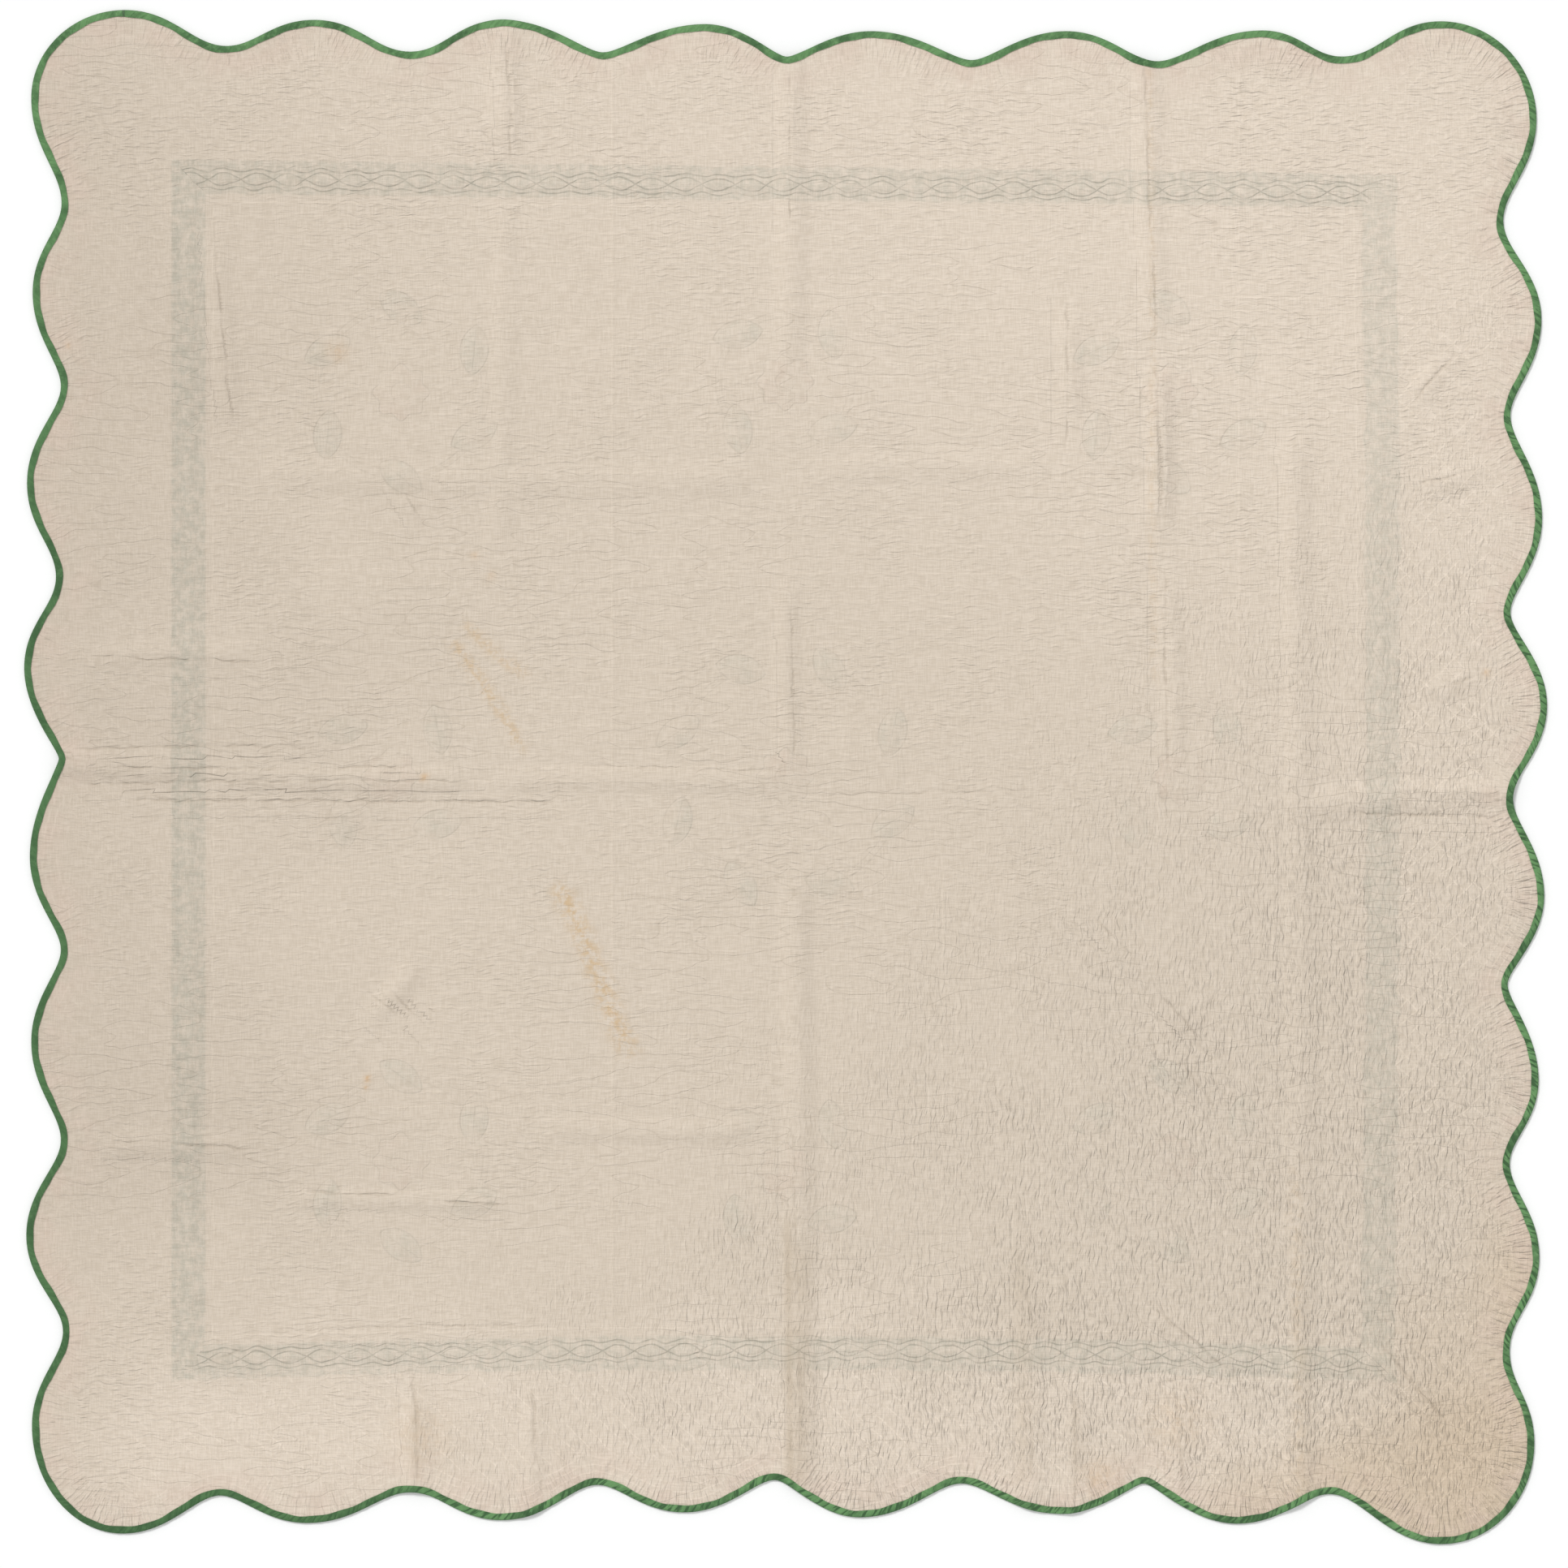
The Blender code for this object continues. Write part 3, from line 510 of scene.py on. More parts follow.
def cloth_width(name, bottom, top, left, right, ring):
    """Closed sheet of one width: patch() between its edges, at upper_height and under_height."""
    places = patch(left, right, bottom, top)
    x, y = places[..., 0], places[..., 1]
    u, v = straightened(x, y)
    depth, share = edge_near(x, y, ring)
    out, inner, wreath = motifs(x, y)
    z = upper_height(x, y, u, v, depth, out)
    under = places[::COARSE, ::COARSE]
    under_z = under_height(under[..., 0], under[..., 1], depth[::COARSE, ::COARSE])
    verts = np.concatenate((np.dstack((x, y, z)).reshape(-1, 3),
                            np.dstack((under[..., 0], under[..., 1], under_z)).reshape(-1, 3)))
    above, below, walls = grid_faces(len(left) - 1, len(bottom) - 1)
    mesh = bpy.data.meshes.new(name)
    mesh.from_pydata((verts * MM).tolist(), [], above.tolist() + below.tolist() + walls.tolist())
    mesh.update()
    mesh.shade_smooth()
    mesh.set_sharp_from_angle(angle=SHARP_ANGLE)
    slots = np.zeros(len(mesh.polygons), dtype=np.int32)
    slots[len(above):len(above) + len(below)] = 1
    mesh.polygons.foreach_set("material_index", slots)
    turn = share * 2 * math.pi
    reach = runs(ring)[-1] / (2 * math.pi)
    for label, fields in (("straight", (u, v, depth)), ("motif", (out, inner, wreath)),
                          ("crease", creases(x, y)), ("temper", tempers(x, y)),
                          ("rim", (reach * np.cos(turn), reach * np.sin(turn), depth))):
        both = [np.concatenate((field.ravel(), field[::COARSE, ::COARSE].ravel())) for field in fields]
        layer = mesh.attributes.new(label, "FLOAT_VECTOR", "POINT")
        layer.data.foreach_set("vector", np.stack(both, axis=1).ravel())
    piece = bpy.data.objects.new(name, mesh)
    bpy.context.collection.objects.link(piece)
    return piece


EDGE, EDGE_WAY = edge_ring()
cloth_ring = inward(EDGE, EDGE_WAY, BINDING_ROUND + GAP)
ring_runs = runs(cloth_ring)
corner_at = {name: ring_runs[np.argmax(cloth_ring @ np.array(way))] for name, way in
             (("top_left", (-1, 1)), ("top_right", (1, 1)), ("low_right", (1, -1)), ("low_left", (-1, -1)))}


def seam_edge(x, count):
    """A width's straight edge at a seam, from the lower rim to the upper one."""
    ends = []
    for upper in (False, True):
        at = crossing(cloth_ring, x, upper)
        ends.append(stretch(cloth_ring, at, at, 1)[0])
    return ends[0] + (ends[1] - ends[0]) * np.linspace(0, 1, count + 1)[:, None]


def along_edge(start, end, count, backwards=False):
    """A width's edge along the scallops, turned end for end where it runs against the clock."""
    places = stretch(cloth_ring, start, end, count)
    return places[::-1] if backwards else places


ROWS = 480
LEFT_COLUMNS = 183
CENTRE_COLUMNS = 183
RIGHT_COLUMNS = 108
SEAM_GAP = 0.04
west, inner_west = SEAM_LEFT - SEAM_GAP / 2, SEAM_LEFT + SEAM_GAP / 2
inner_east, east = SEAM_RIGHT - SEAM_GAP / 2, SEAM_RIGHT + SEAM_GAP / 2
left_width = cloth_width(
    "left_width",
    along_edge(crossing(cloth_ring, west, False), corner_at["low_left"], LEFT_COLUMNS, True),
    along_edge(corner_at["top_left"], crossing(cloth_ring, west, True), LEFT_COLUMNS),
    along_edge(corner_at["low_left"], corner_at["top_left"], ROWS),
    seam_edge(west, ROWS), EDGE)
centre_width = cloth_width(
    "centre_width",
    along_edge(crossing(cloth_ring, inner_east, False), crossing(cloth_ring, inner_west, False),
               CENTRE_COLUMNS, True),
    along_edge(crossing(cloth_ring, inner_west, True), crossing(cloth_ring, inner_east, True),
               CENTRE_COLUMNS),
    seam_edge(inner_west, ROWS), seam_edge(inner_east, ROWS), EDGE)
right_width = cloth_width(
    "right_width",
    along_edge(corner_at["low_right"], crossing(cloth_ring, east, False), RIGHT_COLUMNS, True),
    along_edge(crossing(cloth_ring, east, True), corner_at["top_right"], RIGHT_COLUMNS),
    seam_edge(east, ROWS),
    along_edge(corner_at["top_right"], corner_at["low_right"], ROWS, True), EDGE)


class Wire:
    """One output socket of a material. Sums, products and the like of wires add Math nodes."""

    def __init__(self, tree, socket=None):
        self.tree = tree
        self.socket = socket

    def node(self, kind, settings, inputs, output=0):
        """A new node: its settings come first, then values or links for its sockets."""
        made = self.tree.nodes.new(kind)
        for name, value in settings.items():
            setattr(made, name, value)
        for name, value in inputs.items():
            if isinstance(value, Wire):
                self.tree.links.new(value.socket, made.inputs[name])
            else:
                made.inputs[name].default_value = value
        return Wire(self.tree, made.outputs[output])

    def math(self, operation, *values):
        """Math node on this wire and more values."""
        return self.node("ShaderNodeMath", {"operation": operation}, dict(enumerate((self, *values))))

    def __add__(self, other):
        return self.math("ADD", other)

    def __radd__(self, other):
        return self.math("ADD", other)

    def __sub__(self, other):
        return self.math("SUBTRACT", other)

    def __rsub__(self, other):
        return self.math("MULTIPLY_ADD", -1.0, other)

    def __mul__(self, other):
        return self.math("MULTIPLY", other)

    def __rmul__(self, other):
        return self.math("MULTIPLY", other)

    def __truediv__(self, other):
        return self.math("DIVIDE", other)

    def __abs__(self):
        return self.math("ABSOLUTE")

    def smooth(self, low, high, start=0.0, end=1.0):
        """Smooth step from start at the low value to end at the high one."""
        return self.node("ShaderNodeMapRange", {"interpolation_type": "SMOOTHSTEP"},
                         {0: self, 1: low, 2: high, 3: start, 4: end})

    def plus(self, factor, more):
        """This wire times a factor, plus more, in one node."""
        return self.math("MULTIPLY_ADD", factor, more)

    def groove(self, half):
        """1 where this wire, a distance, is 0, falling smoothly to 0 a half width off."""
        return self.smooth(0.0, half, 1.0, 0.0)

    def spread(self, period):
        """Distance to the nearest whole multiple of a period."""
        return self.math("PINGPONG", period / 2)

    def vector(self, operation, other):
        """Vector Math node on this wire and a vector."""
        return self.node("ShaderNodeVectorMath", {"operation": operation}, {0: self, 1: other})

    def scaled(self, sizes):
        """A vector divided by sizes, so that a noise on it has grains of those sizes."""
        return self.vector("MULTIPLY", tuple(1.0 / size for size in sizes))

    def noise(self, sizes, detail=2.0, rough=0.5, output=0):
        """Noise whose grains have these sizes along x, y and z; its mean is 0.5. Two sizes make
        a flat noise, which is quicker."""
        flat = {"noise_dimensions": "2D"} if len(sizes) == 2 else {}
        inputs = {"Vector": self.scaled((*sizes, 1.0)[:3]), "Scale": 1.0, "Detail": detail,
                  "Roughness": rough}
        return self.node("ShaderNodeTexNoise", flat, inputs, output)

    def parts(self):
        """The three numbers of a vector."""
        split = self.node("ShaderNodeSeparateXYZ", {}, {0: self})
        return [Wire(self.tree, split.socket.node.outputs[k]) for k in range(3)]

    def attribute(self, name):
        """A vector kept on the mesh's points."""
        return self.node("ShaderNodeAttribute", {"attribute_name": name}, {}, "Vector")

    def dyed(self, colour, share, way="MIX"):
        """This colour blended with another by a share."""
        return self.node("ShaderNodeMix", {"data_type": "RGBA", "blend_type": way},
                         {0: share, 6: self, 7: colour}, 2)


CLOTH_SPECULAR = 0.25


def finish_of(name, roughness, sheen, sheen_tint):
    """A cloth material and its shader: constant roughness and sheen on the shader itself."""
    material = bpy.data.materials.new(name)
    material.use_nodes = True
    shader = material.node_tree.nodes["Principled BSDF"]
    shader.inputs["Roughness"].default_value = roughness
    shader.inputs["Sheen Weight"].default_value = sheen
    shader.inputs["Sheen Tint"].default_value = sheen_tint
    shader.inputs["Specular IOR Level"].default_value = CLOTH_SPECULAR
    return material, shader


def relief(shader, height):
    """Joins a height in millimetres to the shader's normal."""
    bump = height.node("ShaderNodeBump", {}, {"Height": height, "Distance": MM, "Strength": 1.0})
    bump.tree.links.new(bump.socket, shader.inputs["Normal"])


MUSLIN = (0.705, 0.612, 0.507, 1.0)
MUSLIN_GREY = (0.620, 0.535, 0.440, 1.0)
MUSLIN_PALE = (0.790, 0.688, 0.578, 1.0)
MUSLIN_BROWN = (0.640, 0.500, 0.350, 1.0)
MUSLIN_PINK = (0.700, 0.560, 0.470, 1.0)
STRIP_SHADE = (0.80, 0.855, 0.86, 1.0)
LEAF_SHADE = (0.93, 0.965, 0.97, 1.0)
ROSETTE_SHADE = (0.99, 0.965, 0.965, 1.0)
CREASE_SHADE = (0.78, 0.76, 0.73, 1.0)
CABLE_SHADE = (0.74, 0.76, 0.75, 1.0)
SLUB_SHADE = (0.90, 0.89, 0.87, 1.0)
SEWN_LIGHT = (1.13, 1.13, 1.13, 1.0)
STAIN = (0.62, 0.44, 0.25, 1.0)
SPOT = (0.62, 0.36, 0.14, 1.0)
SOIL_AND_FOLD_SHADE = (0.520, 0.430, 0.325, 1.0)
# Layout of the quilting in frame millimetres, and half widths of its lines
FIELD_HALF = 815.0
FIELD_PITCH = 20.4
BORDER_PITCH = 19.0
BORDER_FROM = 872.0
STRIP_OUT = 28.0
STRIP_IN = -20.5
CABLE_REACH = 18.0
CABLE_OUTER = 13.25
CABLE_OUTER_WAVE = 2.25
ECHO_FIRST = 19.0
ECHO_PITCH = 10.0
RING_HALF = 4.0
LINE_HALF = 1.9
CABLE_LINE_HALF = 1.7
SEAM_LINE_HALF = 2.4
SEAM_MIDDLE = (SEAM_LEFT + SEAM_RIGHT) / 2
SEAM_APART = (SEAM_RIGHT - SEAM_LEFT) / 2
OUT_OF_REACH = 20.0
DIAGONAL = math.sqrt(0.5)
# Sizes of the grains in millimetres, and heights of the relief
WANDER = (44, 44)
LINE_WANDER = (8.0, 8.0, 8.0)
CRINKLE_WANDER = (12.0, 12.0, 0.0)
CREASE_WANDER = 9.0
LEVEL_CRINKLE = (21, 4.6)
UPRIGHT_CRINKLE = (4.2, 18)
EDGE_CRINKLE = (5.2, 5.2, 24)
LONG_WRINKLE = (120, 22)
MOTTLE = (13, 13)
SLUB_ALONG = (22, 1.5)
SLUB_UP = (1.5, 22)
CRINKLE_HEIGHT = 2.6
VEIN_HEIGHT = 1.3
SEWN_HEIGHT = 0.4
CABLE_DEPTH = 0.7
MOTIF_DEPTH = 0.45
WRINKLE_DEPTH = 0.35
TONE_REACH = 60.0

muslin, shader = finish_of("washed_muslin", roughness=0.92, sheen=0.2, sheen_tint=(1.0, 0.97, 0.92, 1.0))
start = Wire(muslin.node_tree)
place = start.node("ShaderNodeTexCoord", {}, {}, "Object").vector("MULTIPLY", (1000.0, 1000.0, 0.0))
px, py, _ = place.parts()
shake = place.noise(WANDER, detail=2.0, rough=0.6, output="Color").vector("SUBTRACT", (0.5, 0.5, 0.5))
shake_x, shake_y, shake_z = shake.parts()
u, v, depth = start.attribute("straight").vector("ADD", shake.vector("MULTIPLY", LINE_WANDER)).parts()
leaf_out, leaf_inner, wreath_ring = start.attribute("motif").parts()
crease_gap, crease_height, crease_half = start.attribute("crease").parts()
upright, strength, tone = start.attribute("temper").parts()
rim = start.attribute("rim")

# Where each kind of quilting lies
far_u, far_v, ring_gap = abs(u), abs(v), abs(wreath_ring)
outward = far_u.math("MAXIMUM", far_v)
field = outward.smooth(FIELD_HALF - 1.5, FIELD_HALF + 1.5, 1.0, 0.0)
off_motif = leaf_out.smooth(1.5, 4.0) * ring_gap.smooth(4.5, 7.0)
border = outward.smooth(BORDER_FROM - 2, BORDER_FROM + 2) * depth.smooth(38.0, 52.0)
across = outward - FRAME_HALF
from_cable = abs(across)
strip = from_cable.smooth(CABLE_REACH - 1, CABLE_REACH + 1, 1.0, 0.0)
side_on = (far_u - far_v).smooth(-0.5, 0.5)

# Square quilting of the field: the lines along the crinkles show most
level_line = v.spread(FIELD_PITCH).groove(LINE_HALF) * (1.0 - upright)
upright_line = u.spread(FIELD_PITCH).groove(LINE_HALF) * upright.plus(0.8, 0.2)
square_line = level_line.math("MAXIMUM", upright_line)
# Slanting quilting of the border: one way nearly everywhere, both ways on the right
slant_line = ((u + v) * DIAGONAL).spread(BORDER_PITCH).groove(LINE_HALF)
other_slant = ((u - v) * DIAGONAL).spread(BORDER_PITCH).groove(LINE_HALF)
slant_line = slant_line.math("MAXIMUM", other_slant * px.smooth(450.0, 800.0, 0.1, 1.0))
# Cables: two waves that cross, between two outer lines
along = side_on.plus(v - u, u)
turn = (along + FRAME_HALF) * (math.pi / CABLE_PERIOD)
wave = turn.math("COSINE") * CABLE_HALF
outer = from_cable - (turn * 2.0).math("COSINE").plus(CABLE_OUTER_WAVE, CABLE_OUTER)
cable_line = abs(across - wave).math("MINIMUM", abs(across + wave)).math("MINIMUM", abs(outer))
cable_line = cable_line.groove(CABLE_LINE_HALF) * strip * (1.0 - side_on * upright.plus(-0.45, 1.0))
# Echo lines along the edge
echo_line = (depth - ECHO_FIRST).spread(ECHO_PITCH).groove(LINE_HALF)
echo_line = echo_line * depth.smooth(14.0, 16.0) * depth.smooth(40.0, 44.0, 1.0, 0.0)
# Leaves, rosettes, the double lines of the wreath rings, and the field's rim
inner_line = (abs(leaf_inner) + leaf_out.smooth(-6.0, -3.0, 0.0, OUT_OF_REACH)).groove(LINE_HALF)
ring_line = abs(ring_gap - RING_HALF) + leaf_out.smooth(0.0, 3.0, OUT_OF_REACH, 0.0)
ring_line = ring_line.groove(LINE_HALF)
rim_line = abs(outward - FIELD_HALF).groove(LINE_HALF)
seam_line = abs(abs(px - SEAM_MIDDLE) - SEAM_APART).groove(SEAM_LINE_HALF)

# All lines fade here and there, and each kind shows as much as in the photo
fading = shake_z.smooth(-0.2, 0.14, 0.2, 1.0)
plain_lines = (square_line * field * off_motif * 0.5).math(
    "MAXIMUM", slant_line * border * upright.plus(0.5, 0.4))
plain_lines = plain_lines.math("MAXIMUM", echo_line * upright.plus(0.4, 0.3))
plain_lines = plain_lines.math("MAXIMUM", rim_line * 0.7)
sewn = (plain_lines * fading).math("MAXIMUM", seam_line * 0.4)
faint = fading.plus(0.6, 0.3)
cable_line = cable_line * faint
drawn_lines = abs(leaf_out).groove(LINE_HALF).math("MAXIMUM", inner_line * 0.7)
drawn_lines = drawn_lines.math("MAXIMUM", ring_line * 0.5) * faint

# Crinkles of washed cotton: level on the left, upright on the right, and across the edge beside it
bent = place.vector("ADD", shake.vector("MULTIPLY", CRINKLE_WANDER))
level_grain = bent.noise(LEVEL_CRINKLE, detail=1.0, rough=0.6)
upright_grain = bent.noise(UPRIGHT_CRINKLE, detail=1.0, rough=0.6)
edge_grain = rim.noise(EDGE_CRINKLE, detail=1.0, rough=0.6)
edge_share = depth.smooth(20.0, 80.0, 0.9, 0.0)
grain = upright.plus(upright_grain - level_grain, level_grain)
grain = edge_share.plus(edge_grain - grain, grain) - 0.5
vein = abs(grain)
wrinkle = vein.smooth(0.0, 0.05, 1.0, 0.0)
crinkle = strength * strip.plus(-0.45, 1.0) * edge_share.plus(0.5, 1.0)
# Long single wrinkles, here and there
long_wrinkle = abs(bent.noise(LONG_WRINKLE, detail=0.0) - 0.5).smooth(0.0, 0.016, 1.0, 0.0)
long_wrinkle = long_wrinkle * tone.smooth(-0.9, 0.7)

# Sharp creases wander a little and are stronger in places
ridge = (shake_x.plus(CREASE_WANDER, crease_gap) + grain * 4.0) / (crease_half * 0.75)
crease_form = ridge.plus(ridge, 1.0).math("POWER", -1.5) * crease_height
crease_form = crease_form * abs(crease_gap).smooth(14.0, 24.0, 1.0, 0.0) * shake_y.smooth(-0.2, 0.1, 0.4, 1.3)

height = sewn.plus(SEWN_HEIGHT, crease_form)
height = vein.plus(VEIN_HEIGHT, grain * CRINKLE_HEIGHT).plus(crinkle, height)
height = cable_line.plus(-CABLE_DEPTH, height)
height = drawn_lines.plus(-MOTIF_DEPTH, height)
relief(shader, long_wrinkle.plus(-WRINKLE_DEPTH, height))

# Greyer and darker on the left, partly age and partly painted shade; paler at the top right, partly
# age and partly painted light; paler at the bottom, brown in the lower right corner and pinkish along
# the edge, from age
cloth = place.node("ShaderNodeRGB", {}, {})
cloth.socket.default_value = MUSLIN
slow = tone * TONE_REACH
left_grey_and_shade = (slow - px).smooth(380.0, 1150.0) * (py + slow).smooth(-900.0, -500.0, 0.3, 0.8)
bottom_share = (slow - py).smooth(650.0, 950.0) * abs(px + 100.0).smooth(750.0, 1000.0, 0.75, 0.1)
# Partly painted shade: the left is made greyer and darker
colour = cloth.dyed(MUSLIN_GREY, left_grey_and_shade)
# Partly painted light: paler towards the top right
colour = colour.dyed(MUSLIN_PALE, (px * 0.7 + py * 1.1 + slow).smooth(50.0, 1400.0) * 0.9)
colour = colour.dyed(MUSLIN_PALE, bottom_share)
colour = colour.dyed(MUSLIN_BROWN, (px - py + slow).smooth(1500.0, 2050.0) * 0.6)
colour = colour.dyed(MUSLIN_PINK, depth.smooth(8.0, 75.0, 0.5, 0.0) * shake_y.smooth(-0.2, 0.2))
# The top's green frame strips and motifs show through as blotchy grey-green
mottle = place.noise(MOTTLE, detail=3.0, rough=0.75)
strip_band = across + shake_x * 6.0
strip_band = strip_band.smooth(STRIP_OUT - 2, STRIP_OUT + 2, 1.0, 0.0) * strip_band.smooth(
    STRIP_IN - 2, STRIP_IN + 2)
strip_tone = mottle.smooth(0.25, 0.75, 0.1, 1.0) * px.smooth(-860.0, -790.0, 1.0, 0.75)
colour = colour.dyed(STRIP_SHADE, strip_band * strip_tone, "MULTIPLY")
in_motif = leaf_out.smooth(-4.0, 3.0, 1.0, 0.0)
is_leaf = wreath_ring.smooth(-46.0, -40.0)
motif_tone = shake_z.smooth(-0.2, 0.2) * mottle.smooth(0.3, 0.7, 0.3, 1.0)
colour = colour.dyed(LEAF_SHADE, in_motif * is_leaf * motif_tone, "MULTIPLY")
colour = colour.dyed(ROSETTE_SHADE, in_motif * (1.0 - is_leaf) * motif_tone, "MULTIPLY")
# Slubs of the weave, sewn lines, and the shade in the creases
slubs = (place.noise(SLUB_ALONG, detail=1.0) + place.noise(SLUB_UP, detail=1.0)) * 0.5
colour = colour.dyed(SLUB_SHADE, (slubs + mottle * 0.25).smooth(0.50, 0.75), "MULTIPLY")
colour = colour.dyed(SEWN_LIGHT, sewn, "MULTIPLY")
# Painted shade in the quilted grooves of the cables and motifs
colour = colour.dyed(CABLE_SHADE, cable_line + drawn_lines * 0.3, "MULTIPLY")
dip = wrinkle * crinkle * 0.2 + long_wrinkle * 0.5 + crease_form.smooth(-1.2, -0.1, 1.1, 0.0)
colour = colour.dyed(CREASE_SHADE, dip.math("MINIMUM", 1.0) * 0.5, "MULTIPLY")
# Stains, and soil with painted shade along some folds
streak, spot, soil_and_fold_shade = start.attribute("stain_and_fold_shade").parts()
stain_grain = mottle.smooth(0.36, 0.66)
colour = colour.dyed(STAIN, streak * stain_grain * 0.8)
colour = colour.dyed(SPOT, spot * (stain_grain * 0.5 + 0.3))
# Brown along the folds: partly soil, partly painted shade in their valleys
colour = colour.dyed(SOIL_AND_FOLD_SHADE, soil_and_fold_shade * shake_z.smooth(-0.2, 0.2, 0.5, 0.85))
muslin.node_tree.links.new(colour.socket, shader.inputs["Base Color"])

# Hidden top cloth, seen only from below: plain cream with the green strips of its frame
TOP_CLOTH = (0.76, 0.70, 0.60, 1.0)
TOP_CLOTH_AGED = (0.70, 0.63, 0.52, 1.0)
TOP_STRIP = (0.09, 0.27, 0.11, 1.0)
TOP_LINE_HALF = 3.0
under_cloth, shader = finish_of(
    "plain_top_cloth", roughness=0.92, sheen=0.2, sheen_tint=(1.0, 1.0, 1.0, 1.0))
start = Wire(under_cloth.node_tree)
place = start.node("ShaderNodeTexCoord", {}, {}, "Object").vector("MULTIPLY", (1000.0, 1000.0, 0.0))
shake = place.noise((46, 46, 46), detail=3.0, rough=0.6, output="Color").vector("SUBTRACT", (0.5, 0.5, 0.5))
u, v, depth = start.attribute("straight").vector("ADD", shake.vector("MULTIPLY", (3.0, 3.0, 3.0))).parts()
outward = abs(u).math("MAXIMUM", abs(v))
across = outward - FRAME_HALF
strip = across.smooth(STRIP_OUT - 0.7, STRIP_OUT + 0.7, 1.0, 0.0)
strip = strip * across.smooth(STRIP_IN - 0.7, STRIP_IN + 0.7)
cloth = place.node("ShaderNodeRGB", {}, {})
cloth.socket.default_value = TOP_CLOTH
colour = cloth.dyed(TOP_CLOTH_AGED, place.noise((200, 200, 200), detail=4.0, rough=0.6).smooth(0.3, 0.7))
strip_tone = place.noise((20, 20, 20), detail=4.0, rough=0.6).smooth(0.2, 0.7, 0.85, 1.0)
colour = colour.dyed(TOP_STRIP, strip * strip_tone)
under_cloth.node_tree.links.new(colour.socket, shader.inputs["Base Color"])
field = outward.smooth(FIELD_HALF - 1.5, FIELD_HALF + 1.5, 1.0, 0.0)
border = outward.smooth(BORDER_FROM - 2, BORDER_FROM + 2)
squares = u.spread(FIELD_PITCH).math("MINIMUM", v.spread(FIELD_PITCH)).groove(TOP_LINE_HALF)
slants = ((u + v) * DIAGONAL).spread(BORDER_PITCH).math(
    "MINIMUM", ((u - v) * DIAGONAL).spread(BORDER_PITCH)).groove(TOP_LINE_HALF)
puffed = place.noise((12, 9, 9), detail=4.0, rough=0.6) * 0.9
relief(shader, puffed - squares * field * 0.6 - slants * border * 0.6)

# Brown streaks. Columns: start x, start y, end x, end y, sideways bow, strength, half width
STREAKS = (
    (-331, -141, -262, -300, 6, 1.0, 14),
    (-270, -262, -211, -406, -5, 0.9, 15),
    (-482, 204, -366, 26, 5, 0.75, 9),
    (-464, 228, -354, 135, -6, 0.6, 9),
    (514, 1030, 520, 560, 2, 0.35, 4),
    (520, 600, 524, 120, -3, 0.3, 5),
    (720, -540, 726, -1040, 3, 0.25, 9),
)
# Brown spots. Columns: x, y, radius, strength
SPOTS = (
    (-512, -1, 5.5, 0.9),
    (-593, -427, 5.0, 0.9),
    (-596, -440, 4.0, 0.6),
    (-1018, 613, 4.0, 0.7),
    (-637, 603, 15.0, 0.35),
    (-441, 314, 6.0, 0.4),
    (-418, 285, 6.0, 0.35),
    (446, -993, 26.0, 0.35),
    (-516, -935, 40.0, 0.2),
    (555, -913, 45.0, 0.2),
    (994, 147, 5.0, 0.9),
)
# Fold lines darkened brown, partly soil and partly painted shade in the fold valleys, with the columns of
# STREAKS
SOILED_AND_SHADED_FOLDS = (
    (3, -600, 7, -1040, 0, 0.9, 7),
    (19, -640, 22, -1040, 0, 0.6, 17),
    (332, -640, 336, -1030, 2, 0.4, 13),
    (411, -850, 411, -1020, 0, 0.35, 9),
    (-524, -860, -527, -1020, 2, 0.5, 8),
    (730, -700, 735, -1040, 3, 0.3, 12),
    (-956, -33, -950, -25, 0, 0.8, 7),
)
STREAK_FADE = 30.0
SOILED_AND_SHADED_FADE = 60.0


def stain_and_fold_shade_shares(x, y):
    """Shares of stain streaks, brown spots, and folds darkened by soil and painted shade: the most of
    strength x exp(-(g / r)^2), g across a line or from the middle of a spot, r its half width or radius."""
    shares = []
    for rows, fade in ((STREAKS, STREAK_FADE), (SOILED_AND_SHADED_FOLDS, SOILED_AND_SHADED_FADE)):
        most = np.zeros_like(x)
        for row in rows:
            across, strength = beside(x, y, row, fade)
            most = np.maximum(most, row[5] * strength * np.exp(-((across / row[6]) ** 2)))
        shares.append(most)
    spot = np.zeros_like(x)
    for sx, sy, radius, strength in SPOTS:
        spot = np.maximum(spot, strength * np.exp(-(np.hypot(x - sx, y - sy) / radius) ** 2))
    return shares[0], spot, shares[1]


for piece in (left_width, centre_width, right_width):
    mesh = piece.data
    places = np.empty(len(mesh.vertices) * 3)
    mesh.vertices.foreach_get("co", places)
    places = places.reshape(-1, 3) / MM
    layer = mesh.attributes.new("stain_and_fold_shade", "FLOAT_VECTOR", "POINT")
    layer.data.foreach_set("vector", np.stack(stain_and_fold_shade_shares(places[:, 0], places[:, 1]), axis=1).ravel())
    mesh.materials.append(muslin)
    mesh.materials.append(under_cloth)
    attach(piece, "root")
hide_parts("backing_left")
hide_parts("backing_centre")
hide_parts("backing_right")


